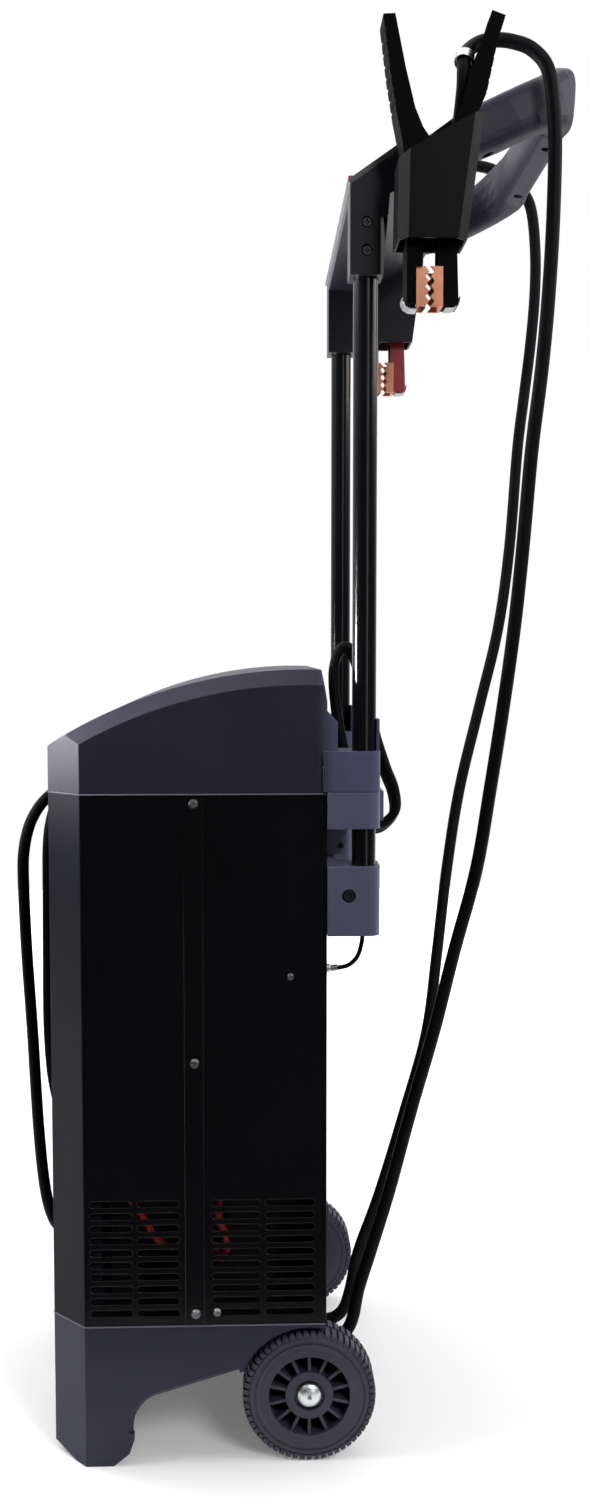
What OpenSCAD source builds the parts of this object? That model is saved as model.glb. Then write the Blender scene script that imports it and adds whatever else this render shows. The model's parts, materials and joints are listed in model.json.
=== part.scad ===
// Wheeled car battery charger: steel case on a moulded base, tube handle with a
// control console, and two clamps in holsters. Millimetres, +Z up, front towards -Y.

/* [Case] */
// Width over the side walls
body_w = 300; // [280:1:320]
// Depth from the front face to the rear face
body_d = 222; // [216:1:234]
// Height of the steel side sheets
case_h = 430; // [410:1:460]
// Cut-back of the two front corners
corner_cut = 28; // [24:1:32]
// Thickness of the steel sheets
sheet_t = 1.2; // [0.8:0.1:1.6]
// Wall of the plastic mouldings
wall = 3; // [2.5:0.1:3.5]
// Set-back of the steel sheets from the plastic walls
sheet_inset = 1; // [0.8:0.1:1.5]
// Width of the raised joint strip on each side
strip_w = 14; // [12:1:16]
// Distance of the joint strip's middle from the front face
strip_v = 117; // [112:1:120]

/* [Vents] */
// Rows of slots
vent_rows = 10; // [6:1:11]
// Distance between rows
vent_pitch = 10; // [9:0.5:11]
// Height of one slot
slot_h = 5.4; // [4.4:0.2:6]
// Height of the lowest row above the sheet's lower edge
vent_low = 10.5; // [9:0.5:14]

/* [Base] */
// Height of the base moulding
base_h = 116; // [112:1:122]
// Length of the flat under each front foot
foot_len = 30; // [24:1:34]
// Radius of the fillet between foot and arch
arch_fillet = 26; // [22:1:30]
// Slope of the arch's straight stretch
arch_slope = 17; // [14:1:18]
// Width of the opening between the front feet
front_gap = 190; // [160:5:200]
// Height of the opening between the front feet
front_gap_h = 40; // [30:1:50]

/* [Wheels] */
// Outer diameter of the tyres
wheel_d = 108; // [100:1:112]
// Width of the tyres
wheel_w = 27; // [22:1:29]
// Diameter of the wheel rim
rim_d = 80; // [76:1:84]
// Spokes on each wheel
spokes = 14; // [10:1:16]
// Tread blocks round each shoulder
tread_blocks = 30; // [20:1:36]
// Diameter of the axle
axle_d = 10; // [8:0.5:12]
// Gap between tyre and wheel arch
arch_gap = 3.5; // [3:0.5:5]

/* [Top cover] */
// Height of the cover above the sheets, at the crown
cover_h = 97; // [90:1:104]
// Radius of the crown
crown_r = 375; // [350:5:420]
// Chamfer along the crown's sides
crown_cut = 12; // [8:1:14]

/* [Cord bay] */
// Width of the cord bay in the front face
bay_w = 146; // [140:1:160]
// Depth of the cord bay
bay_d = 36; // [32:1:40]
// Rim of the front face below the cord bay
bay_rim = 14; // [12:1:24]
// Width of each cord cleat
cleat_w = 78; // [70:1:84]

/* [Handle tubes] */
// Outer diameter of the tubes
tube_d = 19; // [16:0.5:20]
// Wall of the tubes
tube_wall = 1.5; // [1:0.1:2]
// Distance between the tubes' centre lines
tube_gap = 280; // [276:1:284]
// Distance of the tubes behind the rear face
tube_back = 29.5; // [29:0.5:31]
// Length of the tubes
tube_len = 563; // [540:1:600]
// Radial clearance of the tubes in their sockets
tube_fit = 0.1; // [0.08:0.01:0.3]

/* [Brackets] */
// Height of the lower bracket
low_bracket_h = 55; // [50:1:58]
// Height of the upper bracket
up_bracket_h = 29; // [26:1:32]
// Gap between the two brackets
bracket_gap = 30; // [26:1:34]
// Wall round the tubes in the brackets
socket_wall = 4; // [3.5:0.1:5]

/* [Console] */
// Slope of the control panel
panel_slope = 35; // [32:1:38]
// Length of the control panel, up the slope
panel_len = 55; // [52:1:58]
// Thickness of the control panel
panel_t = 4; // [3:0.5:5]
// Length of the tube sleeves under the console
sleeve_len = 58; // [50:1:64]
// Width of the tube sleeves
sleeve_w = 28; // [27:0.5:30]
// Diameter of the push buttons
button_d = 13; // [10:0.5:14]
// Travel of the push buttons
button_travel = 1.5; // [1:0.1:2]

/* [Push handle] */
// Distance of the grip bar's middle behind the rear face of the case
arm_reach = 189; // [184:1:194]
// Rise angle of the handle's arms
arm_slope = 25.5; // [24:0.5:27]
// Width of the arms
arm_w = 32; // [28:1:34]
// Height of the grip bar's section
grip_h = 56; // [48:1:58]

/* [Clamps] */
// Width of each clamp
clamp_w = 28; // [27:1:29]
// Wall of the clamp shells
clamp_wall = 2.4; // [2:0.1:2.6]
// Diameter of the pivot pins
pin_d = 6; // [5:0.5:7]
// Height of the copper jaws
jaw_h = 29; // [26:1:30]
// Distance between teeth of the jaws
tooth_pitch = 7.25; // [6:0.25:8]
// Depth of the teeth
tooth_h = 3; // [2:0.5:3.5]

/* [Holsters] */
// Width of each holster
holster_w = 42; // [40:1:44]
// Wall of the holsters
holster_wall = 2; // [1.6:0.1:2.2]
// Chamfer of the holsters' outer corners
holster_cut = 7.5; // [6:0.5:8]

/* [Cables] */
// Diameter of the clamp cables
cable_d = 10.8; // [9:0.2:11]
// Diameter of the mains cord
mains_d = 9.8; // [8:0.2:10]
// Diameter of the control lead
lead_d = 8.6; // [7:0.2:9]

/* [Hidden] */

$fn = 48;
eps = 0.01;

half_w = body_w / 2;
case_z = base_h;                    // lower edge of the steel sheets
cover_z = base_h + case_h;          // lower edge of the top cover
sheet_x = half_w - sheet_inset;     // outer face of the steel sheets
running = 0.05;                     // radial clearance of a part that turns
floor_t = 2;                        // thickness of the chassis tray's floor
lip_reach = 8;                      // cleats' lips in front of the front face
grip_half = 13;                     // half thickness of the grip bar
grip_v = body_d + arm_reach;

// ---------- shared shapes ----------

// Moves the model from the front face of the case to the middle of its depth
module placed() translate([0, -(grip_v + grip_half + 2 - lip_reach) / 2, 0]) children();

// Draws a thing and its mirror image on the other side
module both_sides() {
    children();
    mirror([1, 0, 0]) children();
}

// Extrudes a side view, drawn as [depth, height], from x0 to x1
module side_view(x0, x1) {
    translate([x0, 0, 0]) rotate([90, 0, 90]) linear_extrude(x1 - x0) children();
}

// Cylinder along X between x0 and x1, at a depth and a height
module along_x(x0, x1, v, z, r, r2 = undef) {
    translate([x0, v, z]) rotate([0, 90, 0])
        cylinder(h = x1 - x0, r1 = r, r2 = is_undef(r2) ? r : r2);
}

// Cylinder along Y between v0 and v1
module along_y(x, v0, v1, z, r, r2 = undef) {
    translate([x, v0, z]) rotate([-90, 0, 0])
        cylinder(h = v1 - v0, r1 = r, r2 = is_undef(r2) ? r : r2);
}

function arc(cv, cz, r, a0, a1, steps = 12) =
    [for (i = [0:steps]) let (a = a0 + (a1 - a0) * i / steps) [cv + r * cos(a), cz + r * sin(a)]];

// Points moved in depth and height
function moved(points, dv, dz = 0) = [for (p = points) p + [dv, dz]];

function reversed(points) = [for (i = [len(points) - 1:-1:0]) points[i]];

// Catmull-Rom curve through points, with a number of steps between each pair
function curve(p, steps) = [
    for (i = [0:len(p) - 2]) for (k = [0:steps - 1])
        let (a = p[max(i - 1, 0)], b = p[i], c = p[i + 1], d = p[min(i + 2, len(p) - 1)],
            t = k / steps)
        0.5 * (2 * b + (c - a) * t + (2 * a - 5 * b + 4 * c - d) * t * t
            + (3 * b - a - 3 * c + d) * t * t * t),
    p[len(p) - 1]
];

function unit(a) = a / norm(a);
function direction(p, i) = unit(p[min(i + 1, len(p) - 1)] - p[max(i - 1, 0)]);

// Closed skin over rings of points, all with as many points
module skin(rings) {
    n = len(rings[0]);
    m = len(rings);
    points = [for (ring = rings) for (p = ring) p];
    sides = [for (i = [0:m - 2]) for (j = [0:n - 1])
        let (a = i * n + j, b = i * n + (j + 1) % n, c = a + n, d = b + n)
        each [[a, b, d], [a, d, c]]];
    first = [for (j = [1:n - 2]) [0, j + 1, j]];
    last = [for (j = [1:n - 2]) [(m - 1) * n, (m - 1) * n + j, (m - 1) * n + j + 1]];
    polyhedron(points, [for (f = concat(sides, first, last)) [f[0], f[2], f[1]]]);
}

// Round tube along a path; side_of is a direction that the path never takes
module tube(path, d, faces, side_of) {
    skin([for (i = [0:len(path) - 1])
        let (t = direction(path, i), u = unit(cross(side_of, t)), w = cross(t, u))
        [for (j = [0:faces - 1]) let (a = 360 * j / faces)
            path[i] + d / 2 * (cos(a) * u + sin(a) * w)]]);
}

function length_of(p) = len(p) < 2 ? 0
    : [for (i = 1, s = norm(p[1] - p[0]); i < len(p);
        s = s + (i + 1 < len(p) ? norm(p[i + 1] - p[i]) : 0), i = i + 1) s][len(p) - 2];

// Least distance of a cord's surface from its own other turns
function least_gap(p, d, apart) =
    min([for (i = [0:len(p) - 1]) for (j = [i + apart:1:len(p) - 1]) norm(p[i] - p[j])]) - d;

// ---------- base ----------

hub_v = body_d - 13.5;              // depth of the axle
hub_z = wheel_d / 2;
arch_r = hub_z + arch_gap;
pocket_x = half_w - wheel_w - 5;    // inner face of the wheel pockets
foot_v = 20;                        // front end of the flat under the foot
foot_end = foot_v + foot_len;
toe = [13, 10];                     // rise behind the flat of the foot
base_wall = wall + 1;
bevel = 5;                          // bevel along the arch
rear_edge = 14;                     // height of the rear wall's lower edge

// Height of the straight stretch of the arch at a depth
arch_top = [hub_v - 56.5, hub_z + 22.5];
function slope_z(v) = arch_top[1] - (arch_top[0] - v) * tan(arch_slope);
leg_v = foot_end + toe[0] + 4;      // rear face of the foot
fillet_v = leg_v + arch_fillet;
fillet_z = slope_z(fillet_v) - arch_fillet / cos(arch_slope);

// Plan of the case, with cut front corners, inset from all sides
module plan(inset) {
    w = half_w - inset;
    cut = corner_cut - inset * 0.586;
    polygon([[-w, inset + cut], [-w + cut, inset], [w - cut, inset], [w, inset + cut],
        [w, body_d - inset], [-w, body_d - inset]]);
}

module arch_cut() {
    polygon(concat(
        [[foot_end, -1], [foot_end, 0], [foot_end + toe[0], toe[1]], [leg_v, toe[1] + 12]],
        arc(fillet_v, fillet_z, arch_fillet, 180, 90 + arch_slope),
        [arch_top, [hub_v, arch_top[1]], [hub_v, -1]]));
}

module arch_bevel() {
    // cone round the fillet, wedge along the straight stretch, cone round the wheel arch
    intersection() {
        along_x(half_w - bevel, half_w + eps, fillet_v, fillet_z, arch_fillet,
            arch_fillet + bevel);
        side_view(0, half_w + 1) polygon([[leg_v - 9, fillet_z - 4],
            [leg_v - 9, fillet_z + 60],
            [fillet_v - arch_fillet * sin(arch_slope), fillet_z + 60],
            [fillet_v - arch_fillet * sin(arch_slope), fillet_z - 4]]);
    }
    translate([half_w, fillet_v - arch_fillet * sin(arch_slope),
        fillet_z + arch_fillet * cos(arch_slope)])
        rotate([arch_slope, 0, 0]) rotate([0, 45, 0])
        translate([-bevel / sqrt(2), 0, -bevel / sqrt(2)])
        cube([bevel * sqrt(2), 70, bevel * sqrt(2)]);
    along_x(half_w - bevel / 2, half_w + eps, hub_v, hub_z, arch_r, arch_r + bevel / 2);
}

module base_ribs() {
    for (x = [-60, 0, 60]) translate([x - 1.5, 60, 0]) cube([3, body_d - 62, base_h]);
    translate([-half_w, 110, 0]) cube([body_w, 3, base_h]);
}

module base_solid() {
    difference() {
        linear_extrude(base_h) plan(0);
        translate([0, 0, -1]) linear_extrude(base_h + 1 - base_wall) plan(base_wall);
    }
    // walls of the wheel pockets, axle bosses, ribs and the backs of the feet
    intersection() {
        linear_extrude(base_h) plan(0);
        union() {
            both_sides() {
                // wheel arch, with a smaller disc behind the wheel
                difference() {
                    along_x(pocket_x - base_wall, half_w, hub_v, hub_z, arch_r + base_wall);
                    cube([pocket_x, body_d, arch_top[1]]);
                }
                along_x(pocket_x - base_wall, pocket_x, hub_v, hub_z, hub_z - 5);
                along_x(pocket_x - 30, pocket_x, hub_v, hub_z, axle_d / 2 + 5);
                translate([front_gap / 2, 0, 0])
                    cube([base_wall, foot_end, front_gap_h + 20]);
                translate([front_gap / 2, foot_end - base_wall, 0])
                    cube([half_w - front_gap / 2, base_wall, fillet_z + 30]);
                translate([front_gap / 2, 0, 0])
                    cube([half_w - front_gap / 2, foot_end, base_wall]);
            }
            difference() {
                base_ribs();
                translate([-half_w, 40, -1]) cube([body_w, 150, base_h - 30]);
            }
        }
    }
}

module base() color("dimgray") difference() {
    base_solid();
    // everything behind the front feet stays clear of the floor
    translate([-half_w - 1, leg_v + 1, -1]) cube([body_w + 2, body_d, rear_edge + 1]);
    both_sides() {
        side_view(pocket_x, half_w + 1) arch_cut();
        along_x(pocket_x, half_w + 1, hub_v, hub_z, arch_r);
        arch_bevel();
    }
    along_x(-half_w, half_w, hub_v, hub_z, axle_d / 2 + running);
    // opening between the feet
    translate([-front_gap / 2, -1, -1]) cube([front_gap, base_wall + 2, front_gap_h - 19]);
    hull_free_arch();
    // bevel under the toes
    side_view(-half_w - 1, half_w + 1) polygon([[-1, -1], [foot_v, -1], [foot_v, 0], [-1, 8.5]]);
    // cable glands
    for (x = gland_x) along_y(x, body_d - base_wall - 1, body_d + 1, gland_z, gland_r + 0.1);
}

// Rounded top of the opening between the feet
module hull_free_arch() {
    r = 20;
    translate([0, -1, front_gap_h - r]) rotate([-90, 0, 0]) linear_extrude(base_wall + 2) {
        for (s = [-1, 1]) translate([s * (front_gap / 2 - r), 0]) circle(r);
        translate([-front_gap / 2 + r, -r]) square([front_gap - 2 * r, r + 2]);
        translate([-front_gap / 2, 0]) square([front_gap, 2]);
    }
}

// ---------- wheels ----------

wheel_x = pocket_x + 2.5;           // inner face of the wheels
tyre_edge = 2.4;                    // radius of the tyre's shoulders

module tyre(x0) color("black") translate([x0, hub_v, hub_z]) rotate([0, 90, 0]) difference() {
    rotate_extrude($fn = 96) difference() {
        union() {
            translate([rim_d / 2, 0]) square([wheel_d / 2 - rim_d / 2 - tyre_edge, wheel_w]);
            translate([rim_d / 2, tyre_edge])
                square([wheel_d / 2 - rim_d / 2, wheel_w - 2 * tyre_edge]);
            for (z = [tyre_edge, wheel_w - tyre_edge])
                translate([wheel_d / 2 - tyre_edge, z]) circle(tyre_edge);
        }
        // shallow step on both side faces
        for (z = [-1, wheel_w - 0.8])
            translate([rim_d / 2 + 3.5, z]) square([2, 1.8]);
    }
    for (i = [0:tread_blocks - 1]) {
        rotate([0, 0, 360 * i / tread_blocks]) translate([wheel_d / 2 - 2.5, -1.6, -1])
            cube([6, 3.2, wheel_w * 0.44]);
        rotate([0, 0, 360 * (i + 0.5) / tread_blocks])
            translate([wheel_d / 2 - 2.5, -1.6, wheel_w * 0.58]) cube([6, 3.2, wheel_w]);
    }
}

hub_r = 19.5;                       // hub of the rim
spoke_out = 33;                     // outer end of the spokes
cap_r = 10;                         // push cap on the axle's end
recess_r = cap_r + 2.5;             // recess of the cap

module rim(x0) color("black") translate([x0, hub_v, hub_z]) rotate([0, 90, 0]) difference() {
    union() {
        difference() {
            cylinder(h = wheel_w, r = rim_d / 2, $fn = 96);
            translate([0, 0, 4]) cylinder(h = wheel_w, r = spoke_out);
        }
        translate([0, 0, 1]) cylinder(h = wheel_w - 2.5, r = hub_r);
        for (i = [0:spokes - 1]) rotate([0, 0, 360 * i / spokes])
            translate([hub_r - 1, -1.3, 1]) cube([spoke_out - hub_r + 2, 2.6, wheel_w - 4]);
    }
    translate([0, 0, -1]) cylinder(h = wheel_w + 2, r = axle_d / 2 + running);
    translate([0, 0, wheel_w - 5]) cylinder(h = 6, r = recess_r);
}

axle_end = wheel_x + wheel_w - 4;   // ends of the axle
module axle() color("silver") along_x(-axle_end, axle_end, hub_v, hub_z, axle_d / 2);

cap_t = 6.5;
module axle_caps() color("silver") both_sides()
    translate([axle_end, hub_v, hub_z]) rotate([0, 90, 0]) rotate_extrude()
        polygon(concat([[0, 0], [cap_r, 0], [cap_r, 1.2]],
            [for (a = [20:20:90]) [cap_r * cos(a), 1.2 + (cap_t - 1.2) * sin(a)]]));

// ---------- sheets, fascia and cover ----------

vent_z = case_z + vent_low;
vent_gap = 4;                       // metal between two slots in a row

// Two columns of slots between two depths, cut through a wall near x
module vents(v0, v1, x) {
    len_1 = (v1 - v0 - vent_gap) / 2;
    for (row = [0:vent_rows - 1]) for (v = [v0, v0 + len_1 + vent_gap]) {
        z = vent_z + row * vent_pitch;
        translate([x - 5, v + slot_h / 2, z - slot_h / 2]) cube([10, len_1 - slot_h, slot_h]);
        for (end = [v + slot_h / 2, v + len_1 - slot_h / 2]) along_x(x - 5, x + 5, end, z, slot_h / 2);
    }
}

strip_z = [10, case_h / 2, case_h - 8];   // heights of the strip's screws in the sheet
screw_r = 2;
lone_screw = [body_d - 29, case_h - 146]; // small screw on the rear half of the side
clip_v = strip_v + 17;                    // small clip in the end of the lowest slot

module strip_holes(x) {
    for (z = strip_z) along_x(x - 5, x + 5, strip_v, case_z + z, screw_r + 0.1);
}

sheet_v0 = corner_cut + 0.6;        // front edge of the side sheets
lap_v = strip_v - strip_w / 2;      // front edge of the joint strip

module side_sheet() color("black") difference() {
    translate([0, 0, case_z]) linear_extrude(case_h) {
        translate([sheet_x - sheet_t, sheet_v0]) square([sheet_t, lap_v - sheet_v0]);
        translate([sheet_x - sheet_t, lap_v - sheet_t]) square([2 * sheet_t + 0.1, sheet_t]);
        translate([sheet_x + 0.1, lap_v - sheet_t]) square([sheet_t, strip_w + sheet_t]);
    }
    vents(sheet_v0 + 4, lap_v - 6, sheet_x);
    strip_holes(sheet_x);
}

fan_z = 54;                         // height of the fan's middle above the floor plate
fan_size = 92;
fan_r = 43.5;
grille_z = case_z + floor_t + fan_z;

module rear_wrap() color("black") difference() {
    translate([0, 0, case_z]) linear_extrude(case_h) difference() {
        translate([-sheet_x, lap_v + 1]) square([2 * sheet_x, body_d - lap_v - 1]);
        translate([sheet_t - sheet_x, lap_v])
            square([2 * (sheet_x - sheet_t), body_d - lap_v - sheet_t]);
    }
    both_sides() {
        vents(lap_v + strip_w + 6, body_d - 10, sheet_x);
        strip_holes(sheet_x);
        along_x(sheet_x - 5, sheet_x + 5, lone_screw[0], case_z + lone_screw[1], screw_r + 0.1);
    }
    // fan grille: slots inside a circle
    for (i = [-5:5]) {
        z = i * 7.6;
        half = sqrt(pow(fan_r - 3, 2) - z * z);
        translate([-half, body_d - 5, grille_z + z - 2.2]) cube([2 * half, 10, 4.4]);
    }
    along_y(lead_x, body_d - 5, body_d + 1, lead_z, lead_d / 2 + 1.5);
}

bay_z0 = case_z + bay_rim;
bay_z1 = cover_z - wall - 1;

flange = 14;                        // reach of the fascia's flanges behind the cut corners

// Plan of the fascia, open to the rear, with flanges inside the side sheets
module fascia_plan(inset, back) {
    w = half_w - inset;
    step = corner_cut + 0.6 - inset;
    cut = corner_cut - inset * 0.586;
    past = inset + cut - step;      // how far the cut corner runs past the step
    corner = past < 0 ? [[w, inset + cut], [w, step]] : [[w - past, step]];
    half = concat([[w - cut, inset]], corner, [[w - 5, step], [w - 5, back]]);
    polygon(concat(half, [for (p = reversed(half)) [-p[0], p[1]]]));
}

module front_fascia() color("dimgray") difference() {
    union() {
        translate([0, 0, case_z]) linear_extrude(case_h) difference() {
            fascia_plan(0, corner_cut + flange);
            fascia_plan(wall, corner_cut + flange + 1);
        }
        // box of the cord bay
        translate([-bay_w / 2 - wall, 1, bay_z0 - wall])
            cube([bay_w + 2 * wall, bay_d + wall - 1, bay_z1 - bay_z0 + 2 * wall]);
    }
    translate([-bay_w / 2, -1, bay_z0]) cube([bay_w, bay_d + 1, bay_z1 - bay_z0]);
    translate([mains_x, mains_v, bay_z1 - 1]) cylinder(h = wall + 2, r = mains_gland_r + 0.1);
}

// Crown of the cover, as a solid turned about an axis along X
crown_v = body_d - 17;
crown_cz = cover_z + cover_h - crown_r;
module crown(r, x) {
    translate([0, crown_v, crown_cz]) rotate([0, 90, 0]) rotate_extrude($fn = 200)
        polygon([[0, -x], [r - crown_cut, -x], [r, crown_cut - x], [r, x - crown_cut],
            [r - crown_cut, x], [0, x]]);
}

module cover_body(inset) intersection() {
    translate([0, 0, cover_z]) linear_extrude(cover_h + 1) plan(inset);
    crown(crown_r - inset, half_w - inset);
    // rear face leans forward towards the crown
    side_view(-half_w, half_w) polygon([[0, 0], [body_d + 2 - inset, 0],
        [body_d + 2 - inset, cover_z + 60], [body_d - 4.5 - inset, cover_z + cover_h + 2],
        [0, cover_z + cover_h + 2]]);
}

// ---------- brackets, tubes and outlet box ----------

tube_x = tube_gap / 2;
tube_v = body_d + tube_back;
socket_r = tube_d / 2 + tube_fit;
block_x = [tube_x - 28, tube_x + tube_d / 2 + socket_wall];
block_v1 = tube_v + tube_d / 2 + socket_wall - 1;
ear_h = 33;                         // height of the cover's tube ears
up_z = cover_z - up_bracket_h + 1;  // lower face of the upper bracket
low_z = up_z - bracket_gap - low_bracket_h;
web_t = 10;                         // web of the lower bracket along the rear face
round_r = 9;                        // rounding of the blocks' rear corners

// Plan of a block round one tube, rounded at the rear
module block_plan(v0 = body_d + 0.2) {
    translate([block_x[0], v0]) square([block_x[1] - block_x[0], block_v1 - round_r - v0]);
    translate([block_x[0] + round_r, v0])
        square([block_x[1] - block_x[0] - 2 * round_r, block_v1 - v0]);
    for (x = [block_x[0] + round_r, block_x[1] - round_r])
        translate([x, block_v1 - round_r]) circle(round_r);
}

module top_cover() color("dimgray") difference() {
    union() {
        difference() {
            cover_body(0);
            cover_body(wall);
            translate([0, 0, cover_z - 1]) linear_extrude(wall) plan(wall);
        }
        both_sides() {
            translate([0, 0, cover_z + 1.2]) linear_extrude(ear_h - 1.2)
                block_plan(body_d - wall);
            // upright tab along the ear's rear edge
            translate([block_x[0] + round_r, block_v1 - 3, cover_z + ear_h - 1])
                cube([block_x[1] - block_x[0] - 2 * round_r, 2.5, 26]);
            // gusset in front of each ear
            side_view(block_x[0], half_w - 1) polygon([[body_d - 1, cover_z + ear_h - 1],
                [body_d + 8.3, cover_z + ear_h - 1], [body_d + 8.3, cover_z + 56],
                [body_d - 1, cover_z + 66]]);
        }
    }
    both_sides() translate([tube_x, tube_v, cover_z - 1]) cylinder(h = ear_h + 3, r = socket_r);
}

bar_v = [body_d + 37, body_d + 48]; // depth of the cross bar
module upper_bracket() color("dimgray") difference() {
    union() {
        both_sides() translate([0, 0, up_z]) linear_extrude(up_bracket_h - 0.2) block_plan();
        translate([-block_x[0] - 1, bar_v[0], up_z + 2])
            cube([2 * block_x[0] + 2, bar_v[1] - bar_v[0], up_bracket_h - 5]);
    }
    both_sides() translate([tube_x, tube_v, up_z - 1]) cylinder(h = up_bracket_h + 2, r = socket_r);
}

floor_of_socket = 6;
module lower_bracket() color("dimgray") difference() {
    union() {
        both_sides() translate([0, 0, low_z]) linear_extrude(low_bracket_h) block_plan();
        translate([-block_x[0] - 1, body_d + 0.2, low_z])
            cube([2 * block_x[0] + 2, web_t, low_bracket_h - 1]);
    }
    both_sides() {
        translate([tube_x, tube_v, low_z + floor_of_socket])
            cylinder(h = low_bracket_h, r = socket_r);
        along_x(block_x[1] - 3, block_x[1] + 1, body_d + 17, low_z + low_bracket_h * 0.58, 5.5);
    }
    // way out for the earth lead under the socket
    translate([tube_x, tube_v, low_z - 1]) cylinder(h = floor_of_socket + 2, r = 3);
}

module handle_tube() color("black") translate([tube_x, tube_v, low_z + floor_of_socket])
    difference() {
        cylinder(h = tube_len, r = tube_d / 2);
        translate([0, 0, -1]) cylinder(h = tube_len + 2, r = tube_d / 2 - tube_wall);
    }

box_w = 176;
box_d = 20;
lead_x = -24;
lead_z = up_z - bracket_gap / 2 - 2;
lead_gland_r = 8;
box_screw = [body_d + box_d - 5, up_z - bracket_gap + 8];
module outlet_box() color("dimgray") difference() {
    translate([-box_w / 2, body_d + 0.2, up_z - bracket_gap + 0.2])
        cube([box_w, box_d, bracket_gap - 0.4]);
    along_y(lead_x, body_d - 1, body_d + box_d + 1, lead_z, lead_gland_r + 0.1);
    translate([-box_w / 2 + wall, body_d, up_z - bracket_gap + wall])
        cube([box_w - 2 * wall, box_d - wall, bracket_gap - 2 * wall]);
    both_sides() along_x(box_w / 2 - 5, box_w / 2 + 1, box_screw[0], box_screw[1], screw_r + 0.1);
}

// ---------- console ----------

tube_top = low_z + floor_of_socket + tube_len;
console_z = tube_top;               // underside of the console
sleeve_z = console_z - sleeve_len;
console_v = tube_v - 13;            // front face of the console
sleeve_x = [tube_x - sleeve_w / 2, tube_x + sleeve_w / 2];
console_x = sleeve_x[1];            // outer side faces
lip_h = 9;                          // front face above the underside
slope = [cos(panel_slope), sin(panel_slope)];
top_v = console_v + panel_len * slope[0];
top_z = console_z + lip_h + panel_len * slope[1];
stub_c = [console_v + 87.5, console_z + 50];  // middle of the joint with the push handle
stub_half = 15;                     // half height of that joint
arm_n = [-sin(arm_slope), cos(arm_slope)];
stub_top = stub_c + stub_half * arm_n;
stub_low = stub_c - stub_half * arm_n;
arm_x = [112, 112 + arm_w];

module console_side() polygon([[console_v, console_z], [console_v, console_z + lip_h],
    [top_v, top_z], [top_v + 18, top_z], [top_v + 31, top_z - 14], [top_v + 18, console_z + 18],
    [console_v + 25, console_z]]);

module console_hollow() polygon([[console_v + wall, console_z + wall],
    [console_v + wall, console_z + lip_h + 20], [top_v - 4, top_z + 20], [top_v - 4, top_z - wall],
    [top_v + 16, top_z - wall], [top_v + 25, top_z - 14], [top_v + 16, console_z + 18 + wall],
    [console_v + 25, console_z + wall]]);

module sleeve() {
    difference() {
        side_view(sleeve_x[0], sleeve_x[1]) polygon([[console_v, sleeve_z],
            [console_v + 25.5, sleeve_z], [console_v + 31, console_z + 12],
            [console_v, console_z + lip_h - 1]]);
        // softened rear corners
        for (x = sleeve_x) translate([x, console_v + 27.5, sleeve_z - 1])
            rotate([0, 0, 45]) cube([6, 6, 90], center = true);
    }
}

module console_housing() color("dimgray") difference() {
    union() {
        side_view(-console_x, console_x) console_side();
        both_sides() {
            sleeve();
            side_view(arm_x[0], arm_x[1]) polygon([[top_v - 4, top_z - 6], stub_top, stub_low,
                [top_v + 10, console_z + 16]]);
        }
    }
    side_view(-arm_x[0] + wall, arm_x[0] - wall) console_hollow();
    both_sides() {
        translate([tube_x, tube_v, sleeve_z - 1]) cylinder(h = sleeve_len + 1, r = socket_r);
        for (z = sleeve_screws) along_x(console_x - 2, console_x + 1, tube_v, sleeve_z + z, 4.5);
    }
    translate([riser_x, riser_v, console_z - 1]) cylinder(h = wall, r = lead_d / 2 + 0.1);
}
sleeve_screws = [18, 39];

// Lays a thing on the sloping face, X across and Y up the slope
module on_slope() translate([0, console_v, console_z + lip_h]) rotate([panel_slope, 0, 0]) children();

button_x = [50, 72, 94];
button_y = panel_len / 2;
display_size = [96, 30];
display_x = -34;

module console_panel() color("gray") on_slope() difference() {
    union() {
        translate([-console_x + 1, 0.5, 0]) cube([2 * console_x - 2, panel_len - 3, panel_t]);
        translate([-arm_x[0] + wall + 0.3, 8, -2]) cube([2 * (arm_x[0] - wall - 0.3), 36, 2.5]);
    }
    translate([display_x - display_size[0] / 2, button_y - display_size[1] / 2, panel_t - 2])
        cube([display_size[0], display_size[1], 3]);
    translate([display_x - display_size[0] / 2 + 5, button_y - display_size[1] / 2 + 5, -3])
        cube([display_size[0] - 10, display_size[1] - 10, 10]);
    for (x = button_x) translate([x, button_y, -3]) {
        cylinder(h = 12, r = button_d / 2 + 0.35);
        cylinder(h = 3.2, r = button_d / 2 + 1.3);
    }
}

module display_window() color("darkslategray") on_slope()
    translate([display_x - display_size[0] / 2 + 0.2, button_y - display_size[1] / 2 + 0.2,
        panel_t - 2]) cube([display_size[0] - 0.4, display_size[1] - 0.4, 1.8]);

module button(x) on_slope() translate([x, button_y, 0]) {
    translate([0, 0, -1.4]) cylinder(h = panel_t + 1.4 + button_travel + 0.7, r = button_d / 2);
    translate([0, 0, -1.4]) cylinder(h = 1.2, r = button_d / 2 + 0.9);
}

module control_board() color("green") on_slope() {
    translate([-104, 4, -6]) cube([208, 40, 1.6]);
    for (x = button_x) translate([x - 3, button_y - 3, -4.4]) cube([6, 6, 1.2]);
    translate([display_x - 40, button_y - 9, -4.4]) cube([80, 18, 6.4]);
}

// ---------- push handle ----------

arm_c = (arm_x[0] + arm_x[1]) / 2;
arm_half = 18.5;                    // half height of the arms
corner_r = 46;                      // radius of the handle's corners, seen along its plane
grip_rise = 6;                      // middle of the grip bar above the arms' line
grip_lean = -10;                    // lean of the bar's section; the arms' is their slope
bend = grip_v - stub_c[0] - corner_r;
function arm_z(v) = stub_c[1] + (v - stub_c[0]) * tan(arm_slope);

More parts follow.
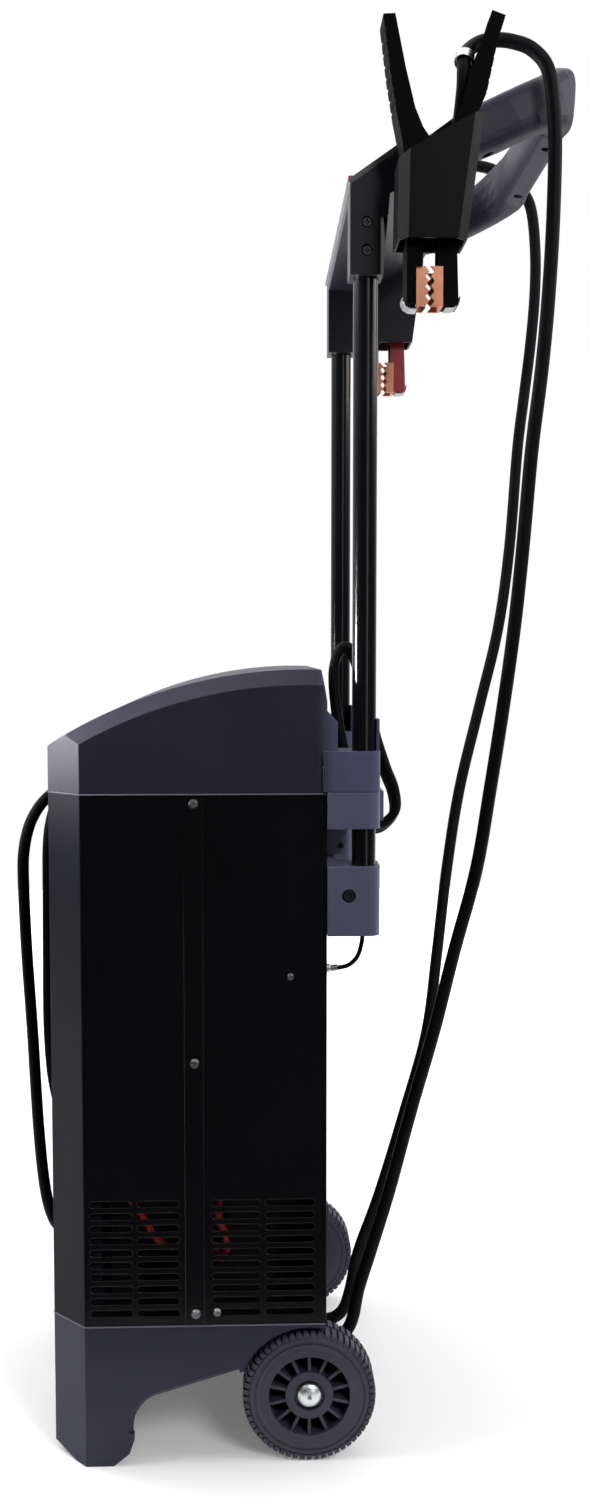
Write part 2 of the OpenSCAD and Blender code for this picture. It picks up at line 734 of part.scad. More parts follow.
// Half the handle: [x, depth, height, half width, half height, lean]
function handle_half() = concat(
    [for (s = [0, 0.25, 0.6, 1]) [arm_c, stub_c[0] + bend * s, arm_z(stub_c[0] + bend * s),
        arm_w / 2 - 0.5 * s, stub_half + (arm_half - stub_half) * min(1, 3 * s), arm_slope]],
    [for (a = [15:15:90]) let (t = a / 90, v = stub_c[0] + bend + corner_r * sin(a)) [
        arm_c - corner_r * (1 - cos(a)), v, arm_z(v) + grip_rise * t * t,
        arm_w / 2 - 0.5 + (grip_half - arm_w / 2 + 0.5) * t,
        arm_half + (grip_h / 2 - arm_half) * t * t,
        arm_slope + (grip_lean - arm_slope) * t]],
    [[30, grip_v, arm_z(grip_v) + grip_rise, grip_half, grip_h / 2, grip_lean]]);

// Softly squared section round a point of the path, square to its direction
function section(p, t, faces = 24) = let (up = [0, -sin(p[5]), cos(p[5])],
        n = unit(up - t * (up * t)), side = unit(cross(t, n)))
    [for (j = [0:faces - 1]) let (a = 360 * j / faces, c = cos(a), s = sin(a))
        [p[0], p[1], p[2]]
            + side * p[3] * sign(c) * pow(abs(c), 0.55) + n * p[4] * sign(s) * pow(abs(s), 0.6)];

module push_handle() color("dimgray") difference() {
    half = handle_half();
    whole = concat(half, [for (p = reversed(half)) [-p[0], p[1], p[2], p[3], p[4], p[5]]]);
    line = [for (p = whole) [p[0], p[1], p[2]]];
    arm = [0, cos(arm_slope), sin(arm_slope)];
    last = len(whole) - 1;
    skin([for (i = [0:last])
        section(whole[i], i == 0 ? arm : i == last ? -arm : direction(line, i))]);
    // screw recesses in the underside of the bar and of the arms
    for (x = [-60, 60]) translate([x, grip_v - 3, arm_z(grip_v) + grip_rise - grip_h / 2 - 1])
        cylinder(h = 7, r = 4.5);
    both_sides() translate([arm_c, stub_c[0] + bend * 0.55, arm_z(stub_c[0] + bend * 0.55) - 23])
        cylinder(h = 8, r = 4.5);
}

// ---------- holsters ----------

holster_x = console_x;              // inner face of the holsters
holster_z = sleeve_z + 16;          // lower rim
holster_low = [console_v + 32.5, console_v + 84];
holster_top = [console_v + 34, console_v + 96.5];
holster_h = 96;

// Level outline of a holster between two depths, inset by a wall
module holster_plan(v, inset) {
    c = holster_cut - inset * 0.586;
    w = holster_w - inset;
    polygon([[inset, v[0] + inset], [w - c, v[0] + inset], [w, v[0] + inset + c],
        [w, v[1] - inset - c], [w - c, v[1] - inset], [inset, v[1] - inset]]);
}

module holster_form(inset, over) hull() {
    translate([0, 0, -over]) linear_extrude(eps) holster_plan(holster_low, inset);
    translate([0, 0, holster_h + over]) linear_extrude(eps) holster_plan(holster_top, inset);
}

rim_slope = 29;
module holster() color("dimgray") translate([holster_x, 0, holster_z]) difference() {
    holster_form(0, 0);
    holster_form(holster_wall, 1);
    // slanted upper rim
    translate([-1, holster_low[0], 59]) rotate([rim_slope, 0, 0])
        translate([0, -20, 0]) cube([holster_w + 2, 120, 90]);
}

// ---------- clamps ----------

clamp_x = holster_x + holster_w / 2;
pivot = [console_v + 58.5, console_z - 17];     // depth and height of the pivot
jaw_z = pivot[1] - 72;                        // lower end of the jaws
inner_w = clamp_w - 2 * clamp_wall - 0.8;     // the rear half nests in the front half

// Edges of the two halves, as [depth, height] from the pivot, from tip to jaw
front_outer = [[-37.3, 136], [-32.5, 98], [-27.5, 68], [-22.5, 44], [-19.5, 21], [-17, 3],
    [-18, -15], [-19, -27], [-19, -71]];
front_inner = [[-28.5, 136.5], [-20.5, 98], [-13.5, 70], [-7.5, 56], [-1, 47], [7, 20], [11, 4],
    [9.5, -9], [0, -17], [-7, -27], [-7, -43]];
rear_outer = [[53, 137.5], [47, 118], [43.5, 101], [39.5, 82], [34, 70], [30, 52], [24, 24],
    [17, 3], [17, -15], [18.5, -27], [20, -71]];
rear_inner = [[43, 141], [37.5, 123], [28, 101], [20, 70], [13, 57], [5, 47], [-6, 20], [-8.5, 0],
    [-6, -9], [1, -16], [5, -27], [5, -43]];
jaw_back = [-12, 8.3];              // backs of the copper jaws

module outline(outer, inner, back) polygon(concat(outer, [[back, -71], [back, -43]],
    reversed(inner)));

// Region behind a shell's outer wall, open towards the other half
module channel(outer, t, s) {
    edge = [for (p = outer) if (p[1] > -40) p + [s * t, p[1] > 130 ? -t : 0]];
    polygon(concat(edge, [[edge[len(edge) - 1][0], -44], [s * 60, -44], [s * 60, 150],
        [edge[0][0], edge[0][1]]]));
}

module at_pivot() translate([clamp_x, pivot[0], pivot[1]]) children();

module front_half() at_pivot() difference() {
    side_view(-clamp_w / 2, clamp_w / 2) outline(front_outer, front_inner, jaw_back[0]);
    side_view(-clamp_w / 2 + clamp_wall, clamp_w / 2 - clamp_wall)
        channel(front_outer, clamp_wall + 0.6, 1);
    rotate([0, 90, 0]) cylinder(h = clamp_w + 2, r = pin_d / 2 + running, center = true);
    grip_grooves(front_outer, -1);
}

module rear_half() at_pivot() difference() {
    side_view(-inner_w / 2, inner_w / 2) outline(rear_outer, rear_inner, jaw_back[1]);
    side_view(-inner_w / 2 + clamp_wall, inner_w / 2 - clamp_wall)
        channel(rear_outer, clamp_wall + 0.6, -1);
    rotate([0, 90, 0]) cylinder(h = clamp_w + 2, r = pin_d / 2, center = true);
    grip_grooves(rear_outer, 1);
}

// Finger grooves across the outside of a handle
module grip_grooves(outer, s) {
    for (i = [1:7]) {
        z = 66 + i * 8.5;
        along_x(-clamp_w, clamp_w, lookup(z, [for (p = reversed(outer)) [p[1], p[0]]]) + s * 0.9,
            z, 1.7);
    }
}

module clamp_pin() color("silver") at_pivot() rotate([0, 90, 0]) {
    cylinder(h = clamp_w + 1, r = pin_d / 2, center = true);
    for (s = [-1, 1]) translate([0, 0, s * (clamp_w / 2 + 0.9)])
        cylinder(h = 1.4, r = pin_d / 2 + 1.5, center = true);
}

// Toothed edge between two heights, as [depth, height] points
function teeth(v, z0, z1) = let (n = floor((z1 - z0) / tooth_pitch * 2))
    [for (i = [0:n]) [v + (i % 2 == 0 ? 0 : tooth_h), z0 + i * tooth_pitch / 2]];

jaw_gap = 3;
jaw_t = 2;                          // copper sheet of the jaws
jaw_low = jaw_z - pivot[1];

// Copper channel with a toothed edge on both its sides
module jaw(back, edge, s) color("coral") at_pivot() difference() {
    side_view(-inner_w / 2, inner_w / 2)
        polygon(concat([[back, jaw_low]], teeth(edge, jaw_low, jaw_low + jaw_h),
            [[back, jaw_low + jaw_h]]));
    translate([-inner_w / 2 + jaw_t, min(back + s * jaw_t, back + s * 30), jaw_low - 1])
        cube([inner_w - 2 * jaw_t, 30 - jaw_t, jaw_h + 2]);
}
module front_jaw() jaw(jaw_back[0], jaw_back[0] + 7, 1);
module rear_jaw() jaw(jaw_back[1], jaw_back[0] + 8 + jaw_gap, -1);

spring_turns = 4;
spring_wire = 1.8;
spring_r = 5.2;
// Torsion spring round the pin, with one leg towards each handle
function spring_path() = concat(
    [[-6, -11, 22], [-6, -8.5, 12]],
    [for (i = [0:spring_turns * 8]) let (a = 180 + 45 * i)
        [-6 + 12 * i / (spring_turns * 8), spring_r * cos(a), spring_r * sin(a)]],
    [[6, -2, 8], [6, 20.7, 25]]);

module clamp_spring() color("gray") at_pivot() tube(spring_path(), spring_wire, 6, [1, 0, 0]);

crimp_h = 8;
cable_end = [0, 22, 52];            // end of the cable inside the clamp, from the pivot

// Band round the cable where it dives into the handle, and the terminal it ends on
module clamp_crimp() color("silver") {
    k = len(black_route) - 6;
    d = direction(black_route, k);
    translate(black_route[k]) rotate([0, acos(d[2]), atan2(d[1], d[0])]) difference() {
        cylinder(h = crimp_h, r = cable_d / 2 + 1.7, center = true);
        cylinder(h = crimp_h + 1, r = cable_d / 2 + 0.6, center = true);
    }
    at_pivot() translate(cable_end - [inner_w / 2 - clamp_wall, 6, 7])
        cube([inner_w - 2 * clamp_wall, 9, 7]);
}

// ---------- inner parts ----------

floor_z = case_z + floor_t;
tray_v = [40, body_d - 8];
wall_x = 89;                        // middle of the tray's two upright walls
wall_h = 106;
lead_gap = [[106, 142], [24, 62]];  // window for the leads, in depth and above the case's edge

// Chassis tray: a floor with a wall on each side, between the vents and the parts
module floor_plate() color("black") {
    translate([-half_w + 12, tray_v[0], case_z])
        cube([body_w - 24, tray_v[1] - tray_v[0], floor_t]);
    both_sides() translate([wall_x - 0.75, 0, 0]) difference() {
        translate([0, tray_v[0] + 4, floor_z - eps])
            cube([1.5, tray_v[1] - tray_v[0] - 12, wall_h]);
        translate([-1, lead_gap[0][0], case_z + lead_gap[1][0]])
            cube([4, lead_gap[0][1] - lead_gap[0][0], lead_gap[1][1] - lead_gap[1][0]]);
    }
}

core_w = 112;
core_d = 64;
core_h = 92;
core_v = 92;                        // middle of the transformer
limb = 22;

module transformer_core() color("slategray") translate([0, core_v, floor_z]) difference() {
    translate([-core_w / 2, -core_d / 2, 0]) cube([core_w, core_d, core_h]);
    for (s = [-1, 1]) translate([s * (core_w / 4 - 3) - 12.5, -core_d / 2 - 1, limb - 4])
        cube([25, core_d + 2, core_h - 2 * (limb - 4)]);
}

module transformer_coil() color("chocolate") translate([0, core_v, floor_z + limb - 3.6])
    difference() {
        linear_extrude(core_h - 2 * limb + 7.2) {
            translate([-core_w / 4 - 9, -core_d / 2 - 14]) square([core_w / 2 + 18, core_d + 28]);
        }
        translate([0, 0, -1]) linear_extrude(core_h) {
            translate([-12.5, -core_d / 2]) square([25, core_d]);
            for (s = [-1, 1]) translate([s * 60 - 22.5, -core_d / 2 - 0.4])
                square([45, core_d + 0.8]);
        }
    }

sink_v = 146;
module heat_sink() color("lightgray") translate([-66, sink_v, floor_z]) {
    cube([132, 5, 84]);
    for (i = [0:14]) translate([i * 9.2, 4, 0]) cube([2, 24, 84]);
    for (x = [30, 66, 102]) translate([x - 8, -5, 50]) cube([16, 5, 20]);
}

fan_t = 25;
fan_v = body_d - sheet_t - fan_t;
module fan_frame() color("black") translate([0, fan_v, floor_z + fan_z]) difference() {
    translate([-fan_size / 2, 0, -fan_size / 2]) cube([fan_size, fan_t, fan_size]);
    difference() {
        along_y(0, -1, fan_t + 1, 0, fan_r);
        along_y(0, -2, 3, 0, 20);
        for (a = [45, 135]) rotate([0, a, 0]) translate([-fan_r, 0, -2.5]) cube([2 * fan_r, 3, 5]);
    }
    along_y(0, -1, 4, 0, 2 + running);
}

fan_blades = 7;
module fan_rotor() color("dimgray") translate([0, fan_v, floor_z + fan_z]) {
    along_y(0, 5, fan_t - 1, 0, 18);
    along_y(0, 1, 6, 0, 2);
    for (i = [0:fan_blades - 1]) rotate([0, 360 * i / fan_blades, 0])
        intersection() {
            translate([16, 13, 0]) rotate([38, 0, 0]) cube([26, 3, 22], center = false);
            along_y(0, 5, fan_t - 1, 0, fan_r - 2);
        }
}

board_v = bay_d + wall + 6;
board = [130, 1.6, 170];
module power_board() color("green") translate([0, board_v, case_z + 150]) {
    translate([-board[0] / 2, 0, 0]) cube(board);
    for (x = [5, board[0] - 5]) for (z = [5, board[2] - 5])
        translate([x - board[0] / 2, 0, z]) along_y(0, -6, 1, 0, 3);
    for (i = [0:3]) along_y(-40 + i * 26, 1, 34, 40, 11);
    translate([-50, 1, 80]) cube([30, 18, 26]);
    translate([10, 1, 84]) cube([34, 22, 18]);
    for (z = [120, 140]) translate([-40, 1, z]) cube([70, 12, 8]);
}

red_lead_1 = [[60, 46.6, 280], [60, 52, 280], [72, 56, 279], [92, 58, 276], [110, 58, 264],
    [120, 58, 244], [125, 61, 222], [125, 64, 209], [125, 72, 199], [125, 78, 188],
    [124, 84, 177], [118, 98, 167], [98, 113, 166], [74, 127, 168], [54, 131, 170],
    [37, 131, 170]];
red_lead_2 = [[60, 46.6, 300], [60, 52, 300], [70, 66, 300], [86, 92, 299], [104, 118, 290],
    [116, 136, 270], [121, 139, 244], [125, 138, 222], [125, 135, 204], [125, 135, 194],
    [125, 140, 182], [124, 142, 168], [116, 137, 156], [94, 132, 151], [62, 131, 150],
    [37, 131, 150]];
module inner_leads() color("red") {
    for (s = [1, -1]) for (p = [red_lead_1, red_lead_2])
        tube([for (q = p) [s * q[0], q[1], q[2]]], 5.6, 8, [s, -0.35, 1]);
}

// ---------- cords ----------

gland_x = [46, 8];
gland_z = 50;
gland_r = 9;
gland_out = 6;                      // reach of the clamp cables' glands behind the base
mains_x = -50;
mains_v = 26;
mains_gland_r = 7;
mains_boot = 26;                    // length of the tapered boot
riser_x = 0;
riser_v = body_d + 42;

module gland(r, hole, out) {
    // collar, threaded neck and tapered nose along +Z, seated at the origin
    difference() {
        union() {
            translate([0, 0, -wall - 2]) cylinder(h = wall + 2, r = r);
            cylinder(h = min(5, out / 2), r = r + 2.5);
            cylinder(h = out, r1 = r, r2 = hole + 1.2);
        }
        translate([0, 0, -wall - 0.3]) cylinder(h = out + wall + 2, r = hole + 0.15);
    }
}

module cable_glands() color("black") {
    for (x = gland_x) translate([x, body_d, gland_z]) rotate([-90, 0, 0])
        gland(gland_r, cable_d / 2, gland_out);
    translate([mains_x, mains_v, bay_z1]) rotate([180, 0, 0])
        gland(mains_gland_r, mains_d / 2, mains_boot);
    translate([lead_x, body_d + 0.2 + box_d, lead_z]) rotate([-90, 0, 0])
        gland(lead_gland_r, lead_d / 2, 8);
}

// The routes below are drawn for this case depth, console position and cord bay
drawn_d = 222;
drawn_console = [238.5, 1002];
drawn_bay = [130, 542];
console_from = 800;                 // the cables follow the console above this height
bay_middle = 300;

function fitted(route) = [for (p = route) p + (p[2] < console_from ? [0, body_d - drawn_d, 0]
    : [0, console_v - drawn_console[0], console_z - drawn_console[1]])];
function in_bay(route) = [for (p = route)
    p + [0, 0, p[2] < bay_middle ? bay_z0 - drawn_bay[0] : bay_z1 - drawn_bay[1]]];

// Clamp cables, from the gland at the rear of the base to the clamp
black_route = fitted([[46, 219, 50], [46, 230, 50], [46, 239, 52.5], [46.5, 247, 60], [48, 252, 74],
    [51, 256, 98], [58, 266, 136], [67, 281, 193], [78, 298, 267], [88, 316, 339], [98, 331, 409],
    [108, 347, 478], [118, 356, 545], [127, 364, 610], [134, 371, 674], [140, 376, 737],
    [146, 381, 813], [149, 387, 870], [151, 391, 920], [152, 394, 980], [152, 395, 1040],
    [152, 393, 1076], [152, 388, 1100], [152, 376, 1113], [152, 362, 1118], [152.5, 349, 1119],
    [155, 337, 1116], [161, 327, 1108], [168, 322.5, 1098], [173, 321.5, 1088],
    [175, 321, 1076], [175, 319.5, 1060], [175, 318, 1047], [175, 318, 1037.1]]);
red_route = fitted([[8, 219, 50], [8, 230, 50], [7.5, 239, 52.5], [5, 247, 60], [-1, 253, 76],
    [-13, 261, 104],
    [-30, 282, 152], [-50, 307, 222], [-68, 330, 294], [-86, 342, 368], [-103, 353, 444],
    [-118, 367, 521], [-129, 387, 599], [-138, 407, 678], [-146, 419, 757], [-151, 427, 855],
    [-153, 433, 905], [-154, 439, 955], [-154, 443, 1005], [-154, 443, 1050], [-154, 438, 1090],
    [-153, 426, 1109], [-153, 410, 1121], [-152, 394, 1127], [-152, 378, 1129], [-152, 362, 1128],
    [-152.5, 349, 1124], [-155, 337, 1118], [-161, 327, 1108], [-168, 322.5, 1098],
    [-173, 321.5, 1088], [-175, 321, 1076], [-175, 319.5, 1060], [-175, 318, 1047],
    [-175, 318, 1037.1]]);

module cable_black() color("black") tube(curve(black_route, 2), cable_d, 10, [1, 0.2, 0.1]);
module cable_red() color("black") tube(curve(red_route, 2), cable_d, 10, [1, -0.2, -0.1]);

// Mains cord: two turns over the cleats of the cord bay, slack on the +X side
mains_route = in_bay([[-50, 26, 545], [-50, 26, 513], [-50, 26, 440], [-50, 24, 330], [-50, 22, 212],
    [-35, 21, 177], [0, 20, 162], [35, 19, 177], [50, 17, 212], [50, 5, 243], [50, -7, 280],
    [50, -11.5, 330], [50, -11.5, 400], [50, -11, 455], [47, -11, 488], [40, -9.5, 510],
    [29, -5, 527], [15, 3, 535], [0, 10, 536.5], [-20, 14, 533], [-38, 14.5, 518],
    [-50, 14.5, 484], [-50, 13, 400], [-50, 12, 300], [-50, 10, 225], [-46, 8, 177],
    [-29, 5, 150], [0, 1, 141], [28, -4, 147], [45, -11, 164], [51, -17, 195], [50, -22, 250],
    [50, -26, 332], [50, -30, 402], [50, -32, 462], [48, -31.5, 487], [41, -28, 507],
    [31, -22, 521], [20, -15, 530], [10, -9, 534.5], [-2, -3, 536.5], [-17, 1, 535],
    [-33, 2, 526], [-45, 2, 507], [-50, 2, 480], [-49, 1, 450], [-43, 2, 420], [-33, 5, 392],
    [-22, 10, 362], [-15, 15, 336], [-14, 16, 317], [-14, 16, 306.15]]);
module mains_cord() color("black") tube(curve(mains_route, 2), mains_d, 8, [0.05, 1, 0.05]);
echo(mains_cord_gap = least_gap(curve(mains_route, 6), mains_d, 18),
    mains_length = length_of(curve(mains_route, 6)));

plug_at = mains_route[len(mains_route) - 1];
module mains_plug() color("black") translate(plug_at) {
    translate([0, 0, -16]) cylinder(h = 16, r1 = 9, r2 = mains_d / 2 + 1.5);
    translate([-13, -10, -44]) cube([26, 20, 28]);
    for (x = [-6.3, 6.3]) translate([x - 0.8, -3, -61]) cube([1.6, 6.3, 17.5]);
    translate([0, 6, -63]) cylinder(h = 19.5, r = 2.4);
}

// Control lead: out of the outlet box, three loops round the cross bar, up to the console
loop = moved([[52, -50], [63, -45], [70, -34], [68, -16], [61, 2], [52, 29], [44, 59], [38, 89],
    [30, 110], [21, 111], [15, 97], [15, 74], [19, 44], [25, 14], [29, -11], [33, -34], [41, -47]],
    body_d, cover_z);
lead_loops = 3;
loop_step = 10;
function lead_path(steps) = curve(concat(
    [[lead_x, body_d + box_d + 0.2 - wall, lead_z], [lead_x, body_d + box_d + 12, lead_z]],
    [for (k = [0:lead_loops - 1]) for (i = [0:len(loop) - 1])
        if (k < lead_loops - 1 || i < 8)
        [lead_x + 6 + loop_step * (k + i / len(loop)), loop[i][0], loop[i][1] + 3 * k]],
    [[riser_x + 4, riser_v - 1, cover_z + 134], [riser_x + 1, riser_v, cover_z + 184]],
    [for (z = [-202, -122, -52, 2]) [riser_x, riser_v, console_z + z]]), steps);
module control_lead() color("black") tube(lead_path(1), lead_d, 6, [1, 0, 0]);
echo(control_lead_gap = least_gap(lead_path(6), lead_d, 14), lead_length = length_of(lead_path(6)));

earth_d = 3.6;
earth_end = [tube_x - 8, body_d, low_z - 30];
// Out of the tube's foot and round to the terminal, from the tube's axis at the bracket
earth_route = concat(
    [for (p = [[0, -0.5, 12], [0, -0.5, 1], [0, -1.5, -9], [-1, -4.5, -19], [-3, -10.5, -26],
        [-6, -17.5, -29]]) [tube_x, tube_v, low_z] + p],
    [earth_end + [0, 4.5, 0]]);
module earth_lead() color("black") {
    tube(curve(earth_route, 2), earth_d, 8, [1, 0, 0]);
    translate(earth_end) rotate([-90, 0, 0]) cylinder(h = 5.2, r = 5);
}

// Cleats inside the cord bay, each half a drum with a lip that keeps the cord on
cleat_z = [bay_z0 + 82, bay_z1 - 58];
cleat_r = 42;
cleat_lip = [9, 1];
module cord_cleats() color("dimgray") for (i = [0, 1]) translate([0, 0, cleat_z[i]])
    intersection() {
        union() {
            along_y(0, -6, bay_d, 0, cleat_r);
            along_y(0, -lip_reach, -5.4, 0, cleat_r + cleat_lip[i]);
        }
        translate([-cleat_w / 2, -9, i == 0 ? -60 : 14]) cube([cleat_w, bay_d + 9, 46]);
    }

// ---------- fasteners ----------

// Domed screw along +X with its head's seat at the origin
module screw_x(head_r, head_h, length) {
    rotate([0, 90, 0]) {
        translate([0, 0, -length]) cylinder(h = length, r = screw_r);
        difference() {
            cylinder(h = head_h, r1 = head_r, r2 = head_r * 0.7);
            for (a = [0, 90]) rotate([0, 0, a]) translate([-head_r * 0.5, -0.5, head_h - 0.9])
                cube([head_r, 1, 1]);
        }
    }
}

module case_screws() color("silver") both_sides() {
    for (z = strip_z) translate([sheet_x + sheet_t + 0.1, strip_v, case_z + z]) screw_x(4, 2.2, 6);
    translate([sheet_x, lone_screw[0], case_z + lone_screw[1]]) screw_x(3, 1.8, 6);
    translate([sheet_x, clip_v, vent_z]) screw_x(3.4, 1.4, 6);
}

module bracket_screws() color("silver") both_sides() {
    translate([block_x[1] - 3, body_d + 17, low_z + low_bracket_h * 0.58])
        rotate([0, 90, 0]) difference() {
            cylinder(h = 2, r = 4.6);
            translate([0, 0, 0.6]) cylinder(h = 2, r = 2.8, $fn = 6);
        }
    for (z = sleeve_screws) translate([console_x - 2, tube_v, sleeve_z + z])
        rotate([0, 90, 0]) difference() {
            cylinder(h = 1.4, r = 3.4);
            for (a = [0, 90]) rotate([0, 0, a]) translate([-2, -0.5, 0.5]) cube([4, 1, 1]);
        }
    translate([box_w / 2, box_screw[0], box_screw[1]]) screw_x(2.6, 1.4, 4);
}

// ---------- nodes ----------

placed() base();
placed() front_fascia();
placed() mirror([1, 0, 0]) side_sheet();  // side_sheet_left
placed() side_sheet();  // side_sheet_right
placed() rear_wrap();
placed() top_cover();
placed() cord_cleats();
placed() upper_bracket();
placed() lower_bracket();
placed() outlet_box();
placed() mirror([1, 0, 0]) handle_tube();  // tube_left
placed() handle_tube();  // tube_right
placed() console_housing();
placed() console_panel();
placed() display_window();
placed() color("silver") button(button_x[0]);  // button_mode
placed() color("silver") button(button_x[1]);  // button_rate
placed() color("silver") button(button_x[2]);  // button_start
placed() control_board();
placed() push_handle();
placed() mirror([1, 0, 0]) holster();  // holster_left
placed() holster();  // holster_right
placed() color("black") rear_half();  // black_rear_half
placed() color("black") front_half();  // black_front_half
placed() clamp_pin();  // black_pin
placed() clamp_spring();  // black_spring
placed() rear_jaw();  // black_rear_jaw
placed() front_jaw();  // black_front_jaw
placed() clamp_crimp();  // black_crimp
placed() mirror([1, 0, 0]) color("red") rear_half();  // red_rear_half
placed() mirror([1, 0, 0]) color("red") front_half();  // red_front_half
placed() mirror([1, 0, 0]) clamp_pin();  // red_pin
placed() mirror([1, 0, 0]) clamp_spring();  // red_spring
placed() mirror([1, 0, 0]) rear_jaw();  // red_rear_jaw
placed() mirror([1, 0, 0]) front_jaw();  // red_front_jaw
placed() mirror([1, 0, 0]) clamp_crimp();  // red_crimp
placed() mirror([1, 0, 0]) tyre(wheel_x);  // tyre_left
placed() tyre(wheel_x);  // tyre_right
placed() mirror([1, 0, 0]) rim(wheel_x);  // rim_left
placed() rim(wheel_x);  // rim_right
placed() axle();
placed() axle_caps();
placed() floor_plate();
placed() transformer_core();
placed() transformer_coil();
placed() heat_sink();
placed() fan_frame();
placed() fan_rotor();
placed() power_board();
placed() inner_leads();
placed() cable_glands();
placed() cable_black();
placed() cable_red();
placed() mains_cord();
placed() mains_plug();
placed() control_lead();
placed() earth_lead();
placed() case_screws();
placed() bracket_screws();
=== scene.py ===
import json
import math
import bpy
import bmesh
from mathutils import Matrix, Vector

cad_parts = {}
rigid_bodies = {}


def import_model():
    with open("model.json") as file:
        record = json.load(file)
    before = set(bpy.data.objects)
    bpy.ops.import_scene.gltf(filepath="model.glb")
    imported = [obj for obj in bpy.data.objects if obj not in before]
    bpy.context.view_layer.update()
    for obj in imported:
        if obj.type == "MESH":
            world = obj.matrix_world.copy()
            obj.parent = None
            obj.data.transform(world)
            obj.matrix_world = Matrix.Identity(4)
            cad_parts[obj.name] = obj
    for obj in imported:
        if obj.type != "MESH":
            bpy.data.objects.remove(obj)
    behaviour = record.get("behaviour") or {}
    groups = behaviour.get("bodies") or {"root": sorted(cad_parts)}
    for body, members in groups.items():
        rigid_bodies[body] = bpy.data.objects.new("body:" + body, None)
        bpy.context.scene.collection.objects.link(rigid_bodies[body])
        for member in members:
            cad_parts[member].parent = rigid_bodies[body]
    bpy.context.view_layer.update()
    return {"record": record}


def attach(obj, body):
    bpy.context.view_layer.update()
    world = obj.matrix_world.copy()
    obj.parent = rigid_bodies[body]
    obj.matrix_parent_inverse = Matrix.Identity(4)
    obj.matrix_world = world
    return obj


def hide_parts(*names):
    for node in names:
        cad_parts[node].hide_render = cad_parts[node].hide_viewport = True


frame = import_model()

scene = bpy.context.scene
caseFront = 209  # from the case's front face back to the origin, in millimetres
print("frame loaded")


def at(x, v, z):
    # shapes are written in millimetres, with the depth v measured from the case's front face
    return Vector((x, v - caseFront, z)) / 1000


cameraLook = {"place": (1.242, -0.0505, 0.65824), "down": 4.0856, "turn": 1.9791, "lens": 33.6,
              "film": 36, "nearest": 0.02, "farthest": 60}


def makeCamera(look):
    down, turn = math.radians(look["down"]), math.radians(look["turn"])
    forward = Vector((-math.cos(down) * math.cos(turn), math.cos(down) * math.sin(turn), -math.sin(down)))
    right = Vector((math.sin(turn), math.cos(turn), 0))
    up = right.cross(forward)
    lens = bpy.data.cameras.new("camera")
    lens.sensor_fit = "VERTICAL"
    lens.sensor_height = look["film"]
    lens.lens = look["lens"]
    lens.clip_start = look["nearest"]
    lens.clip_end = look["farthest"]
    camera = bpy.data.objects.new("camera", lens)
    scene.collection.objects.link(camera)
    turnTo = Matrix((right, up, -forward)).transposed().to_4x4()
    camera.matrix_world = Matrix.Translation(look["place"]) @ turnTo
    scene.camera = camera


makeCamera(cameraLook)


# scales of the patterns, in waves per metre, and the height of the finest grain in metres
pattern = {"drift": 14, "dust": 60, "haze": 9, "smear": 40, "peel": 420, "tarnish": 50, "bloom": 30,
           "scuff": 120, "fine": 0.0002, "coarse": 0.0003}
rearSplit = (0.006, 0.018)  # between these depths a cover's plastic turns to its rear colour


def newMaterial(name):
    made = bpy.data.materials.new(name)
    made.use_nodes = True
    nodes, links = made.node_tree.nodes, made.node_tree.links
    nodes.clear()
    out = nodes.new("ShaderNodeOutputMaterial")
    shader = nodes.new("ShaderNodeBsdfPrincipled")
    links.new(shader.outputs["BSDF"], out.inputs["Surface"])
    return made, nodes, links, shader


def objectSpace(nodes, links, stretch=(1, 1, 1)):
    place = nodes.new("ShaderNodeTexCoord")
    mapping = nodes.new("ShaderNodeMapping")
    mapping.inputs["Scale"].default_value = stretch
    links.new(place.outputs["Object"], mapping.inputs["Vector"])
    return mapping.outputs["Vector"]


def noise(nodes, links, space, scale, detail=3.0, rough=0.5):
    made = nodes.new("ShaderNodeTexNoise")
    made.inputs["Scale"].default_value = scale
    made.inputs["Detail"].default_value = detail
    made.inputs["Roughness"].default_value = rough
    links.new(space, made.inputs["Vector"])
    return made.outputs["Fac"]


def ramp(nodes, links, value, stops):
    made = nodes.new("ShaderNodeValToRGB")
    band = made.color_ramp
    while len(band.elements) < len(stops):
        band.elements.new(0.5)
    for element, (spot, colour) in zip(band.elements, stops):
        element.position = spot
        element.color = (*colour, 1)
    links.new(value, made.inputs["Fac"])
    return made.outputs["Color"]


def scaled(colour, by):
    return tuple(min(1.0, c * by) for c in colour)


def spread(nodes, links, value, low=0.0, high=1.0, start=0.0, end=1.0, curve="LINEAR"):
    # takes a value from between start and end to between low and high
    made = nodes.new("ShaderNodeMapRange")
    made.interpolation_type = curve
    made.inputs["From Min"].default_value = start
    made.inputs["From Max"].default_value = end
    made.inputs["To Min"].default_value = low
    made.inputs["To Max"].default_value = high
    links.new(value, made.inputs["Value"])
    return made.outputs["Result"]


def combined(nodes, links, operation, first, second):
    made = nodes.new("ShaderNodeMath")
    made.operation = operation
    links.new(first, made.inputs[0])
    links.new(second, made.inputs[1])
    return made.outputs["Value"]


def bumped(nodes, links, shader, height, strength, distance, edge=0.0):
    bump = nodes.new("ShaderNodeBump")
    bump.inputs["Strength"].default_value = strength
    bump.inputs["Distance"].default_value = distance
    links.new(height, bump.inputs["Height"])
    if edge:
        soft = nodes.new("ShaderNodeBevel")
        soft.samples = 4
        soft.inputs["Radius"].default_value = edge
        links.new(soft.outputs["Normal"], bump.inputs["Normal"])
    links.new(bump.outputs["Normal"], shader.inputs["Normal"])


def drift(nodes, links, slow, colour, wear):
    return ramp(nodes, links, slow, [(0.3, scaled(colour, 0.86)), (0.55, colour),
                                     (0.8, scaled(colour, 1 + wear))])


